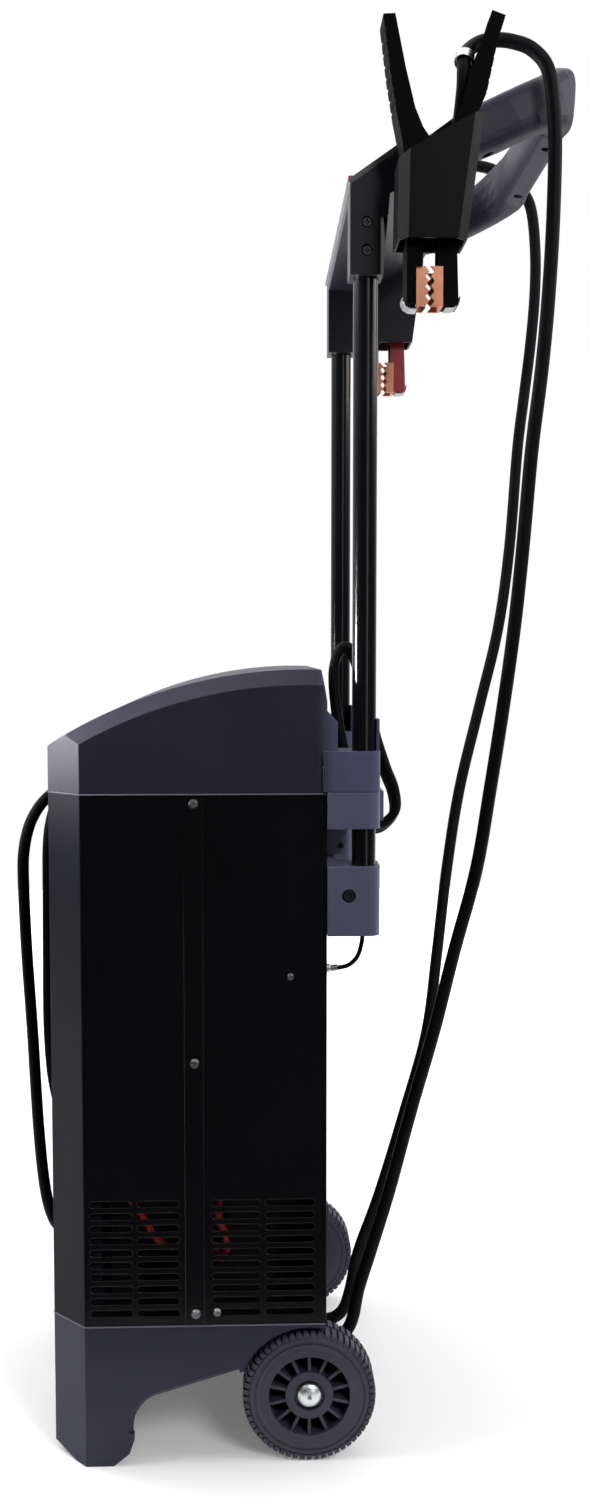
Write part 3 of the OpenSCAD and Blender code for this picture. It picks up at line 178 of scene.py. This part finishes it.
def plastic(name, colour, rough=0.5, grain=2600, bump=0.12, edge=0.0012, specular=0.5, wear=0.25,
            rear=None):
    # moulded plastic: fine grain, slow colour drift and a few dusty patches; rear is a second
    # colour for what stands behind the case
    made, nodes, links, shader = newMaterial(name)
    space = objectSpace(nodes, links)
    slow = noise(nodes, links, space, pattern["drift"], 4)
    skin = drift(nodes, links, slow, colour, wear)
    if rear:
        split = nodes.new("ShaderNodeSeparateXYZ")
        links.new(space, split.inputs["Vector"])
        mix = nodes.new("ShaderNodeMix")
        mix.data_type = "RGBA"
        links.new(spread(nodes, links, split.outputs["Y"], start=rearSplit[0], end=rearSplit[1]),
                  mix.inputs["Factor"])
        links.new(skin, mix.inputs["A"])
        links.new(drift(nodes, links, slow, rear, wear), mix.inputs["B"])
        skin = mix.outputs["Result"]
    links.new(skin, shader.inputs["Base Color"])
    dust = noise(nodes, links, space, pattern["dust"], 5, 0.65)
    links.new(spread(nodes, links, dust, rough - 0.07, rough + 0.09), shader.inputs["Roughness"])
    shader.inputs["Specular IOR Level"].default_value = specular
    bumped(nodes, links, shader, noise(nodes, links, space, grain, 2, 0.4), bump, pattern["fine"], edge)
    return made


def paint(name, colour, rough=0.16, edge=0.0008, bump=0.05, coat=0.35, specular=0.5):
    # gloss powder coat with a faint orange-peel skin
    made, nodes, links, shader = newMaterial(name)
    space = objectSpace(nodes, links)
    links.new(ramp(nodes, links, noise(nodes, links, space, pattern["haze"], 3),
                   [(0.3, scaled(colour, 0.8)), (0.7, scaled(colour, 1.2))]),
              shader.inputs["Base Color"])
    smear = noise(nodes, links, space, pattern["smear"], 6, 0.7)
    links.new(spread(nodes, links, smear, rough - 0.04, rough + 0.07), shader.inputs["Roughness"])
    shader.inputs["Coat Weight"].default_value = coat
    shader.inputs["Coat Roughness"].default_value = 0.06
    shader.inputs["Specular IOR Level"].default_value = specular
    peel = noise(nodes, links, space, pattern["peel"], 1, 0.3)
    bumped(nodes, links, shader, peel, bump, pattern["fine"], edge)
    return made


def metal(name, colour, rough=0.3, stretch=(1, 1, 1), scale=300, edge=0.0006, metallic=1.0):
    # plated or bare metal; stretch draws its fine scratches out along an axis
    made, nodes, links, shader = newMaterial(name)
    space = objectSpace(nodes, links, stretch)
    shader.inputs["Metallic"].default_value = metallic
    fine = noise(nodes, links, space, scale, 4, 0.6)
    links.new(ramp(nodes, links, noise(nodes, links, space, pattern["tarnish"], 4),
                   [(0.3, scaled(colour, 0.75)), (0.65, colour)]), shader.inputs["Base Color"])
    links.new(spread(nodes, links, fine, rough - 0.1, rough + 0.14), shader.inputs["Roughness"])
    bumped(nodes, links, shader, fine, 0.12, pattern["fine"], edge)
    return made


def rubber(name, colour, rough=0.62, grain=900, bump=0.25, specular=0.4):
    # rubber, paper or a soft cord jacket, with a dusty bloom
    made, nodes, links, shader = newMaterial(name)
    space = objectSpace(nodes, links)
    links.new(ramp(nodes, links, noise(nodes, links, space, pattern["bloom"], 5),
                   [(0.25, scaled(colour, 0.8)), (0.6, colour), (0.85, scaled(colour, 1.7))]),
              shader.inputs["Base Color"])
    scuff = noise(nodes, links, space, pattern["scuff"], 4)
    links.new(spread(nodes, links, scuff, rough - 0.1, rough + 0.12), shader.inputs["Roughness"])
    shader.inputs["Specular IOR Level"].default_value = specular
    bumped(nodes, links, shader, noise(nodes, links, space, grain, 3, 0.5), bump, pattern["coarse"])
    return made


looks = {
    "moulding": plastic("moulding", (0.0075, 0.0078, 0.015), 0.36, specular=0.08),
    "cover": plastic("cover", (0.026, 0.0242, 0.042), 0.42, specular=0.15, rear=(0.08, 0.084, 0.142)),
    "rim": plastic("rim", (0.036, 0.0335, 0.054), 0.4, specular=0.3),
    "base": plastic("base", (0.0215, 0.021, 0.041), 0.36, specular=0.24),
    "bracket": plastic("bracket", (0.092, 0.096, 0.162), 0.42),
    # pale beads at the case's seams: a painted highlight line
    "lip": plastic("lip", (0.12, 0.12, 0.15), 0.36),
    # the outlet box's pale plastic is painted light, standing in for light that reaches it between the
    # brackets
    "outlet": plastic("outlet", (0.2, 0.208, 0.3), 0.42),
    "console": plastic("console", (0.0115, 0.0105, 0.0155), 0.38, specular=0.2),
    # both holsters are one plastic in shaded and lit copies: the near one darkened as painted shade, the
    # far one lightened as painted light
    "holster": plastic("holster", (0.0042, 0.0038, 0.005), 0.42, specular=0.06),
    "far_holster": plastic("far_holster", (0.017, 0.0165, 0.026), 0.42, specular=0.2),
    "handle": plastic("handle", (0.034, 0.032, 0.048), 0.5, specular=0.15),
    "cleat": plastic("cleat", (0.014, 0.0135, 0.019), 0.42),
    "panel": plastic("panel", (0.060, 0.062, 0.074), 0.42),
    "sheet_paint": paint("sheet_paint", (0.0026, 0.0025, 0.0038)),
    "tray": rubber("tray", (0.004, 0.004, 0.005), 0.6, grain=300, bump=0.05),
    "tube_paint": paint("tube_paint", (0.0042, 0.004, 0.0062), 0.2, bump=0.02, coat=0.12, specular=0.25),
    "window": plastic("window", (0.010, 0.016, 0.017), 0.12, grain=300, bump=0.02, edge=0.0005, wear=0.1),
    "button": plastic("button", (0.22, 0.22, 0.235), 0.35, grain=900, bump=0.05, edge=0.0008),
    "board": plastic("board", (0.012, 0.09, 0.035), 0.35, grain=500, bump=0.1, edge=0.0),
    "clamp_black": plastic("clamp_black", (0.002, 0.002, 0.0022), 0.6, grain=1800, bump=0.2, edge=0.001,
                           specular=0.03),
    "clamp_red": plastic("clamp_red", (0.30, 0.010, 0.012), 0.42, grain=1800, bump=0.2, edge=0.001),
    "copper": metal("copper", (0.62, 0.27, 0.16), 0.45, metallic=0.7),
    "zinc": metal("zinc", (0.62, 0.62, 0.63), 0.3),
    "cap": metal("cap", (0.88, 0.93, 0.94), 0.34, scale=160),
    "dark_screw": metal("dark_screw", (0.06, 0.06, 0.066), 0.36),
    "screw": metal("screw", (0.36, 0.36, 0.38), 0.32),
    "blade": metal("blade", (0.70, 0.56, 0.30), 0.28),
    "tyre_rubber": rubber("tyre_rubber", (0.038, 0.035, 0.056), 0.55),
    "core_steel": metal("core_steel", (0.22, 0.22, 0.24), 0.45, stretch=(1, 1, 60), scale=40),
    "winding_paper": rubber("winding_paper", (0.30, 0.17, 0.06), 0.6),
    "sink_metal": metal("sink_metal", (0.68, 0.68, 0.70), 0.36, stretch=(1, 1, 0.1)),
    "red_jacket": rubber("red_jacket", (0.36, 0.012, 0.016), 0.4, grain=500, bump=0.1),
    "cord_jacket": rubber("cord_jacket", (0.005, 0.0048, 0.0062), 0.5, grain=700, bump=0.12,
                          specular=0.06),
}

# parts whose plastic or plating differs a little from that of their slot; the outlet box's paler plastic is
# painted light, and the holsters' plastic is painted light on the far one and painted shade on the near one
ownLook = {
    "top_cover": "cover", "base": "base", "upper_bracket": "bracket", "lower_bracket": "bracket",
    "console_housing": "console", "console_panel": "panel", "push_handle": "handle",
    "holster_left": "far_holster", "holster_right": "holster", "cord_cleats": "cleat",
    "floor_plate": "tray", "axle_caps": "cap", "bracket_screws": "dark_screw",
    "case_screws": "screw", "outlet_box": "outlet", "rim_left": "rim", "rim_right": "rim"}

for part in frame["record"]["subparts"]:
    carried = bpy.data.objects[part["node"]]
    carried.data.materials.clear()
    carried.data.materials.append(looks[ownLook.get(part["node"], part["material_slot"])])
print("materials on the carried parts")


def smooth(points, steps):
    # a flowing curve through the points, with a number of steps between each pair
    made = []
    for i in range(len(points) - 1):
        a, b = points[max(i - 1, 0)], points[i]
        c, d = points[i + 1], points[min(i + 2, len(points) - 1)]
        for k in range(steps):
            t = k / steps
            made.append(0.5 * (2 * b + (c - a) * t + (2 * a - 5 * b + 4 * c - d) * t * t
                               + (3 * b - a - 3 * c + d) * t ** 3))
    made.append(points[-1])
    return made


def length(points):
    return sum((b - a).length for a, b in zip(points, points[1:]))


def roundBar(name, line, diameter, look, sides):
    # a round bar or cord along a line of points, riding on the case
    curve = bpy.data.curves.new(name, "CURVE")
    curve.dimensions = "3D"
    curve.bevel_depth = diameter / 2
    curve.bevel_resolution = sides
    curve.use_fill_caps = True
    spline = curve.splines.new("POLY")
    spline.points.add(len(line) - 1)
    for point, spot in zip(spline.points, line):
        point.co = (*spot, 1)
    spline.use_smooth = True
    made = bpy.data.objects.new(name, curve)
    scene.collection.objects.link(made)
    curve.materials.append(looks[look])
    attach(made, "case")
    return made


# the control lead leaves the outlet box, winds round the cross bar and climbs to the console
controlLoop = {
    "from": -24, "start": [(239.2, 501), (254, 501)],
    "turn": [(274, 496), (285, 501), (292, 512), (290, 530), (283, 548), (274, 575), (266, 605),
             (260, 635), (252, 656), (243, 657), (237, 643), (237, 620), (241, 590), (247, 560),
             (251, 535), (255, 512), (263, 499)],
    "turns": 3, "shift": 6, "step": 10, "rise": 3, "lastTurn": 8,
    "climb": [(4, 263, 680), (1, 264, 730), (0, 264, 800), (0, 264, 880), (0, 264, 950),
              (0, 264, 1004)]}


def controlRoute(loop):
    turn = loop["turn"]
    route = [(loop["from"], v, z) for v, z in loop["start"]]
    for k in range(loop["turns"]):
        used = turn if k < loop["turns"] - 1 else turn[:loop["lastTurn"]]
        for i, (v, z) in enumerate(used):
            across = loop["from"] + loop["shift"] + loop["step"] * (k + i / len(turn))
            route.append((across, v, z + loop["rise"] * k))
    return route + loop["climb"]


# each cord's CAD node, its diameter in metres and its route
cords = {
    "black_lead": {"node": "cable_black", "diameter": 0.0108, "route": [
        (46, 219, 50), (46, 230, 50), (46, 239, 52.5), (46.5, 247, 60), (48, 252, 74), (51, 256, 98),
        (58, 266, 136), (67, 281, 193), (78, 298, 267), (88, 316, 339), (98, 331, 409),
        (108, 347, 478), (118, 356, 545), (127, 364, 610), (134, 371, 674), (140, 376, 737),
        (146, 381, 813), (149, 387, 870), (151, 391, 920), (152, 394, 980), (152, 395, 1040),
        (152, 393, 1076), (152, 388, 1100), (152, 376, 1113), (152, 362, 1118), (152.5, 349, 1119),
        (155, 337, 1116), (161, 327, 1108), (168, 322.5, 1098), (173, 321.5, 1088),
        (175, 321, 1076), (175, 319.5, 1060), (175, 318, 1047), (175, 318, 1037.1)]},
    "red_lead": {"node": "cable_red", "diameter": 0.0108, "route": [
        (8, 219, 50), (8, 230, 50), (7.5, 239, 52.5), (5, 247, 60), (-1, 253, 76), (-13, 261, 104),
        (-30, 282, 152), (-50, 307, 222), (-68, 330, 294), (-86, 342, 368), (-103, 353, 444),
        (-118, 367, 521), (-129, 387, 599), (-138, 407, 678), (-146, 419, 757), (-151, 427, 855),
        (-153, 433, 905), (-154, 439, 955), (-154, 443, 1005), (-154, 443, 1050), (-154, 438, 1090),
        (-153, 426, 1109), (-153, 410, 1121), (-152, 394, 1127), (-152, 378, 1129),
        (-152, 362, 1128), (-152.5, 349, 1124), (-155, 337, 1118), (-161, 327, 1108),
        (-168, 322.5, 1098), (-173, 321.5, 1088), (-175, 321, 1076), (-175, 319.5, 1060),
        (-175, 318, 1047), (-175, 318, 1037.1)]},
    "mains_lead": {"node": "mains_cord", "diameter": 0.0098, "route": [
        (-50, 26, 545), (-50, 26, 513), (-50, 26, 440), (-50, 24, 330), (-50, 22, 212),
        (-35, 21, 177), (0, 20, 162), (35, 19, 177), (50, 17, 212), (50, 5, 243), (50, -7, 280),
        (50, -11.5, 330), (50, -11.5, 400), (50, -11, 455), (47, -11, 488), (40, -9.5, 510),
        (29, -5, 527), (15, 3, 535), (0, 10, 536.5), (-20, 14, 533), (-38, 14.5, 518),
        (-50, 14.5, 484), (-50, 13, 400), (-50, 12, 300), (-50, 10, 225), (-46, 8, 177),
        (-29, 5, 150), (0, 1, 141), (28, -4, 147), (45, -11, 164), (51, -17, 195), (50, -22, 250),
        (50, -26, 332), (50, -30, 402), (50, -32, 462), (48, -31.5, 487), (41, -28, 507),
        (31, -22, 521), (20, -15, 530), (10, -9, 534.5), (-2, -3, 536.5), (-17, 1, 535),
        (-33, 2, 526), (-45, 2, 507), (-50, 2, 480), (-49, 1, 450), (-43, 2, 420), (-33, 5, 392),
        (-22, 10, 362), (-15, 15, 336), (-14, 16, 317), (-14, 16, 306.15)]},
    "control_cable": {"node": "control_lead", "diameter": 0.0086, "route": controlRoute(controlLoop)},
    "earth_wire": {"node": "earth_lead", "diameter": 0.0036, "route": [
        (140, 251, 445), (140, 251, 434), (140, 250, 424), (139, 247, 414), (137, 241, 407),
        (134, 234, 404), (132, 227, 403)]},
}


def makeCord(name, look):
    line = smooth([at(*point) for point in look["route"]], 6)
    made = roundBar(name, line, look["diameter"], "cord_jacket", 5)
    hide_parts(look["node"])
    return made, line


def declareCord(made, line, pieces=()):
    print("cord", made.name, round(length(line), 3))


for cordName, cordLook in cords.items():
    cord, cordLine = makeCord(cordName, cordLook)
    if cordName == "mains_lead":  # its length is printed once its plug is made
        mains, mainsLine = cord, cordLine
    else:
        declareCord(cord, cordLine)


def finished(name, shape, look, body, *replaced):
    # a bmesh becomes a piece with outward faces, its material and its body
    bmesh.ops.remove_doubles(shape, verts=shape.verts, dist=0.00002)
    bmesh.ops.recalc_face_normals(shape, faces=shape.faces)
    mesh = bpy.data.meshes.new(name)
    shape.to_mesh(mesh)
    shape.free()
    made = bpy.data.objects.new(name, mesh)
    scene.collection.objects.link(made)
    mesh.materials.append(looks[look])
    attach(made, body)
    if replaced:
        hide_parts(*replaced)
    return made


def strip(shape, line, width, thick):
    # a bent strip: its edge line is made wide along X, then thick
    corners = [shape.verts.new(spot) for spot in line]
    edges = [shape.edges.new(pair) for pair in zip(corners, corners[1:])]
    wide = bmesh.ops.extrude_edge_only(shape, edges=edges)["geom"]
    moved = [part for part in wide if isinstance(part, bmesh.types.BMVert)]
    bmesh.ops.translate(shape, vec=(width / 1000, 0, 0), verts=moved)
    faces = [part for part in wide if isinstance(part, bmesh.types.BMFace)]
    bmesh.ops.solidify(shape, geom=faces, thickness=thick / 1000)


def turned(shape, line, centre, axis, steps, closed=False):
    # a round part: its line spun once about an axis through its centre
    verts = [shape.verts.new(spot) for spot in line]
    ends = verts[1:] + verts[:1] if closed else verts[1:]
    edges = [shape.edges.new(pair) for pair in zip(verts, ends)]
    bmesh.ops.spin(shape, geom=verts + edges, cent=centre, axis=axis, angle=math.tau, steps=steps,
                   use_merge=True, use_duplicate=False)


def rounded(shape, edges, radius, segments=2):
    bmesh.ops.bevel(shape, geom=edges, offset=radius / 1000, offset_type="OFFSET", segments=segments,
                    profile=0.5, affect="EDGES", material=-1)


def block(shape, size, place):
    # a box of a size in millimetres round a place; gives its edges
    made = bmesh.ops.create_cube(shape, size=0.001)["verts"]
    bmesh.ops.scale(shape, verts=made, vec=size)
    bmesh.ops.translate(shape, verts=made, vec=place)
    return list({e for v in made for e in v.link_edges})


# steel shoes at the ends of the clamps' jaws: [depth, height] from the pivot, round the leg's end
jawShoe = {
    "pivot": (175, 297, 985), "width": 17, "thick": 0.7, "edge": 0.3,
    "front": [(-21.1, -65), (-20.6, -68), (-19.2, -70.6), (-16, -72.6), (-10.5, -73)],
    "rear": [(21.9, -64), (21.4, -67.5), (20.0, -70.6), (16.8, -72.4), (10.5, -72.8)]}


def makeShoes(shoe):
    x, v, z = shoe["pivot"]
    for side, colour in ((1, "black"), (-1, "red")):
        for half, body in (("front", colour + "_jaw"), ("rear", "case")):
            shape = bmesh.new()
            strip(shape, [at(side * x - shoe["width"] / 2, v + a, z + b) for a, b in shoe[half]],
                  shoe["width"], shoe["thick"])
            made = finished(f"{colour}_{half}_shoe", shape, "screw", body)
            soft = made.modifiers.new("edge", "BEVEL")
            soft.width = shoe["edge"] / 1000
            soft.segments = 2


makeShoes(jawShoe)


# ring terminal of the earth wire, screwed to the back of the case: the ring and the screw's
# head are one line of [radius, distance], and the barrel sits on the wire's end
terminal = {
    "place": (132, 222, 403), "steps": 28,
    "line": [(0.01, 0.15), (5.2, 0.15), (5.2, 1.0), (3.4, 1.0), (3.4, 2.6), (2.6, 3.6), (1.2, 4.0),
             (0.9, 3.0), (0.01, 3.0)],
    "barrel": 2.6, "barrelLong": 7, "barrelBack": 1.5}


def makeTerminal(look, wire):
    x, v, z = look["place"]
    shape = bmesh.new()
    turned(shape, [at(x + r, v + d, z) for r, d in look["line"]], at(x, v, z), (0, 1, 0), look["steps"])
    finished("earth_terminal", shape, "zinc", "case", "earth_lead")
    shape = bmesh.new()
    radius = look["barrel"] / 1000
    barrel = bmesh.ops.create_cone(shape, cap_ends=True, segments=20, radius1=radius, radius2=radius,
                                   depth=look["barrelLong"] / 1000)["verts"]
    end = at(*wire[-1])
    lean = (at(*wire[-2]) - end).to_track_quat("Z", "Y")
    bmesh.ops.rotate(shape, verts=barrel, cent=(0, 0, 0), matrix=lean.to_matrix())
    bmesh.ops.translate(shape, verts=barrel, vec=end + lean @ Vector((0, 0, look["barrelBack"] / 1000)))
    finished("earth_barrel", shape, "zinc", "case")


makeTerminal(terminal, cords["earth_wire"]["route"])


# tyres with fine lugs round both shoulders; points are [across, radius]: the sidewall from the
# inner edge, the shoulder from the lugs' root, and the bed's groove back from its middle
tyre = {
    "inner": 40, "outer": 54, "bed": 51.6, "wide": 27, "face": 120.5, "hub": (208.5, 54),
    "sidewall": [(0, 0), (0, 3.5), (0.8, 3.5), (0.8, 5.5), (0, 5.5)],
    "shoulder": [(0, -1.4), (1.0, 0)], "bedEdge": 2.2, "bedGroove": [(1.4, 0), (1, 0.8)],
    "lugs": 57, "lugRoot": 49.4, "lugWide": 3.7, "lugReach": 12.2, "lugCorner": 2.1}


def lugRow(shape, look, side, row):
    # one lug, its outer corner rounded, then turned round the hub
    ring = bmesh.new()
    bmesh.ops.create_cube(ring, size=0.001)
    tall, reach = look["outer"] - look["lugRoot"], look["lugReach"]
    across = look["face"] + (look["wide"] - reach / 2 if row else reach / 2)
    bmesh.ops.scale(ring, verts=ring.verts, vec=(reach, look["lugWide"], tall))
    corner = [e for e in ring.edges if all(v.co.z > 0 and v.co.x * (row - 0.5) > 0 for v in e.verts)]
    rounded(ring, corner, look["lugCorner"])
    place = Vector((across / 1000, 0, (look["lugRoot"] + tall / 2) / 1000))
    bmesh.ops.translate(ring, verts=ring.verts, vec=place)
    step = math.tau / look["lugs"]
    bmesh.ops.rotate(ring, verts=ring.verts, cent=(0, 0, 0), matrix=Matrix.Rotation(step * row / 2, 3, "X"))
    bmesh.ops.spin(ring, geom=ring.verts[:] + ring.edges[:] + ring.faces[:], cent=(0, 0, 0),
                   axis=(1, 0, 0), angle=math.tau - step, steps=look["lugs"] - 1, use_duplicate=True)
    bmesh.ops.scale(ring, verts=ring.verts, vec=(side, 1, 1))
    bmesh.ops.translate(ring, verts=ring.verts, vec=at(0, *look["hub"]))
    mesh = bpy.data.meshes.new("lugs")
    ring.to_mesh(mesh)
    ring.free()
    shape.from_mesh(mesh)
    bpy.data.meshes.remove(mesh)


def makeTyre(look, side, name):
    shape = bmesh.new()
    lugRow(shape, look, side, 0)
    lugRow(shape, look, side, 1)
    # half of the lathe line runs over a side face to the middle of the bed
    wide, bed = look["wide"], look["bed"]
    half = [(a, look["inner"] + r) for a, r in look["sidewall"]]
    half += [(a, look["lugRoot"] + r) for a, r in look["shoulder"]]
    half += [(look["bedEdge"], bed)] + [(wide / 2 - a, bed - r) for a, r in look["bedGroove"]]
    v, z = look["hub"]
    line = half + [(wide - a, r) for a, r in reversed(half)]
    turned(shape, [at(side * (look["face"] + a), v, z + r) for a, r in line], at(0, v, z), (1, 0, 0),
           2 * look["lugs"], closed=True)
    finished(f"{name}_tyre", shape, "tyre_rubber", f"wheel_{name}", f"tyre_{name}")


makeTyre(tyre, 1, "right")
makeTyre(tyre, -1, "left")


# thin beads where the shells of the case meet, coloured pale as a painted highlight along each seam
lips = {"side": 150, "cut": 28, "rear": 221, "diameter": 1.3,
        "heights": {"base_lip": 116.0, "cover_lip": 545.4}}


def makeSeamHighlights(look):
    side, cut, rear = look["side"], look["cut"], look["rear"]
    corners = [(side, rear), (side, cut), (side - cut, 0), (cut - side, 0), (-side, cut), (-side, rear)]
    for name, height in look["heights"].items():
        roundBar(name, [at(x, v, height) for x, v in corners], look["diameter"] / 1000, "lip", 2)


makeSeamHighlights(lips)


# the mains plug hangs on the end of its cord: ribbed grip and boot, two blades and a pin; a ridge
# is its share of the grip's width, how far it stands out in depth, and its height
plug = {
    "place": (-14, 16, 306.15), "grip": (26, 20, 28), "round": 3.2,
    "ridges": 5, "ridgeStep": 4.2, "ridge": (0.6, 1.2, 1.5), "ridgeRound": 0.4,
    "boot": 16, "bootFoot": 9, "bootTip": 6.4, "bootRings": 3, "bootRing": 8.8, "bootTaper": 0.8,
    "bootGroove": 1.1, "ringFirst": 2, "ringStep": 4.6, "ringHeights": (0, 2.6, 2.9, 4.3),
    "blade": (1.6, 6.3, 17.5), "apart": 6.3, "bladeRound": 0.3,
    "pin": {"radius": 2.4, "taper": 1.4, "long": 19.5, "behind": 6, "sunk": 0.5}}


def bootLine(look):
    # the boot's side as [radius, height], one step out and in for each of its rings
    line = [(0.01, -look["boot"]), (look["bootFoot"], -look["boot"])]
    for k in range(look["bootRings"]):
        low = -look["boot"] + look["ringFirst"] + look["ringStep"] * k
        full = look["bootRing"] - look["bootTaper"] * k
        deep = full - look["bootGroove"]
        line += [(r, low + up) for r, up in zip((full, full, deep, deep), look["ringHeights"])]
    return line + [(look["bootTip"], 0), (0.01, 0)]


def makePlug(look):
    x, v, z = look["place"]
    wide, deep, tall = look["grip"]
    foot = z - look["boot"]
    shape = bmesh.new()
    rounded(shape, block(shape, look["grip"], at(x, v, foot - tall / 2)), look["round"], 3)
    share, out, high = look["ridge"]
    for k in range(look["ridges"]):
        height = foot - tall / 2 + look["ridgeStep"] * (k - (look["ridges"] - 1) / 2)
        rounded(shape, block(shape, (wide * share, deep + out, high), at(x, v, height)),
                look["ridgeRound"])
    turned(shape, [at(x + r, v, z + d) for r, d in bootLine(look)], at(x, v, z), (0, 0, 1), 40)
    grip = finished("plug_grip", shape, "cord_jacket", "case", "mains_plug")

    shape = bmesh.new()
    edges = []
    for across in (-look["apart"], look["apart"]):
        edges += block(shape, look["blade"], at(x + across, v, foot - tall - look["blade"][2] / 2))
    rounded(shape, edges, look["bladeRound"])
    pin = look["pin"]
    radius = pin["radius"] / 1000
    made = bmesh.ops.create_cone(shape, cap_ends=True, segments=24, radius1=radius / pin["taper"],
                                 radius2=radius, depth=pin["long"] / 1000)["verts"]
    bmesh.ops.translate(shape, verts=made,
                        vec=at(x, v + pin["behind"], foot - tall - pin["long"] / 2 + pin["sunk"]))
    return grip, finished("plug_blades", shape, "blade", "case")


declareCord(mains, mainsLine, makePlug(plug))
print("trim")


# the floor ends a little past the object on its right side, and glows more the farther away it is, so its
# dimmer glow near the object paints shade round it
floorLook = {"reach": 2.6, "near": 0.36, "drop": 0.0002, "colour": (0.80, 0.80, 0.806), "rough": 0.9,
             "specular": 0.1, "glowFrom": 0.3, "glowFull": 2.0, "glowLeast": 0.14}


def makeFloor(look):
    reach, near = look["reach"], look["near"]
    shape = bmesh.new()
    bmesh.ops.create_grid(shape, x_segments=1, y_segments=1, size=1)
    bmesh.ops.scale(shape, verts=shape.verts, vec=((near + reach) / 2, reach, 1))
    bmesh.ops.translate(shape, verts=shape.verts, vec=((near - reach) / 2, 0, 0))
    mesh = bpy.data.meshes.new("floor")
    shape.to_mesh(mesh)
    shape.free()
    floor = bpy.data.objects.new("floor", mesh)
    scene.collection.objects.link(floor)
    floor.location.z = -look["drop"]
    made, nodes, links, shader = newMaterial("floor")
    shader.inputs["Base Color"].default_value = (*look["colour"], 1)
    shader.inputs["Roughness"].default_value = look["rough"]
    shader.inputs["Specular IOR Level"].default_value = look["specular"]
    away = nodes.new("ShaderNodeVectorMath")
    away.operation = "LENGTH"
    links.new(objectSpace(nodes, links), away.inputs[0])
    glow = nodes.new("ShaderNodeEmission")
    # least glow next to the object: painted shade on the floor round it
    links.new(spread(nodes, links, away.outputs["Value"], low=look["glowLeast"],
                     start=look["glowFrom"], end=look["glowFull"]), glow.inputs["Color"])
    rays = nodes.new("ShaderNodeLightPath").outputs
    links.new(combined(nodes, links, "MAXIMUM", rays["Is Camera Ray"], rays["Is Glossy Ray"]),
              glow.inputs["Strength"])
    both = nodes.new("ShaderNodeAddShader")
    links.new(shader.outputs["BSDF"], both.inputs[0])
    links.new(glow.outputs["Emission"], both.inputs[1])
    out = next(n for n in nodes if n.type == "OUTPUT_MATERIAL")
    links.new(both.outputs["Shader"], out.inputs["Surface"])
    mesh.materials.append(made)


# brightness of the studio from the far side of the object to the camera's side, and overhead
worldLook = {"fade": [(0.0, 1), (0.2, 0.8), (0.4, 0.11), (0.6, 0.06), (1.0, 0.03)],
             "overheadFrom": 0.45, "overhead": 0.5}


def makeWorld(look):
    world = bpy.data.worlds.new("studio")
    scene.world = world
    world.use_nodes = True
    nodes, links = world.node_tree.nodes, world.node_tree.links
    nodes.clear()
    place = nodes.new("ShaderNodeTexCoord")
    split = nodes.new("ShaderNodeSeparateXYZ")
    links.new(place.outputs["Generated"], split.inputs["Vector"])
    fade = ramp(nodes, links, spread(nodes, links, split.outputs["X"], start=-1),
                [(spot, (grey, grey, grey)) for spot, grey in look["fade"]])
    above = spread(nodes, links, split.outputs["Z"], high=look["overhead"],
                   start=look["overheadFrom"], curve="SMOOTHSTEP")
    rays = nodes.new("ShaderNodeLightPath").outputs
    strength = combined(nodes, links, "MAXIMUM", combined(nodes, links, "ADD", fade, above),
                        rays["Is Camera Ray"])
    back = nodes.new("ShaderNodeBackground")
    back.inputs["Color"].default_value = (1, 1, 1, 1)
    links.new(strength, back.inputs["Strength"])
    out = nodes.new("ShaderNodeOutputWorld")
    links.new(back.outputs["Background"], out.inputs["Surface"])


# soft lamps: where each stands, what it faces, its size in metres, watts and spread in degrees
lamps = {
    "front_box": {"place": (-0.1, -1.7, 1.9), "aim": (0, 0, 0.45), "size": (1.5, 0.9), "power": 38},
    "low_box": {"place": (0.03, -0.5, 0.76), "aim": (0.03, 0.12, 1.03), "size": (0.4, 0.2),
                "power": 1.3, "cone": 46},
    "strip_box": {"place": (2.9, 1.3, 0.95), "aim": (0.1, 0, 0.8), "size": (0.2, 2.3), "power": 8},
    "cover_box": {"place": (0.1, -0.95, 0.64), "aim": (0.1, -0.2, 0.61), "size": (0.25, 0.1),
                  "power": 0.3, "cone": 20},
    "side_box": {"place": (2.1, 1.15, 2.2), "aim": (0, 0, 0.6), "size": (0.9, 0.9), "power": 37},
    "top_box": {"place": (-0.4, 0, 3.4), "aim": (0, 0, 0.4), "size": (3.0, 3.0), "power": 40},
    "rear_box": {"place": (0.1, 2.1, 1.75), "aim": (0.1, 0, 1.5), "size": (1.6, 1.0), "power": 26}}


def makeLamp(name, look):
    data = bpy.data.lights.new(name, "AREA")
    data.spread = math.radians(look.get("cone", 180))
    data.shape = "RECTANGLE"
    data.size, data.size_y = look["size"]
    data.energy = look["power"]
    made = bpy.data.objects.new(name, data)
    scene.collection.objects.link(made)
    made.location = look["place"]
    facing = Vector(look["aim"]) - Vector(look["place"])
    made.rotation_euler = facing.to_track_quat("-Z", "Y").to_euler()
    made.visible_camera = False


makeFloor(floorLook)
makeWorld(worldLook)
for lampName, lampLook in lamps.items():
    makeLamp(lampName, lampLook)
print("studio made")

scene.view_settings.view_transform = "Standard"
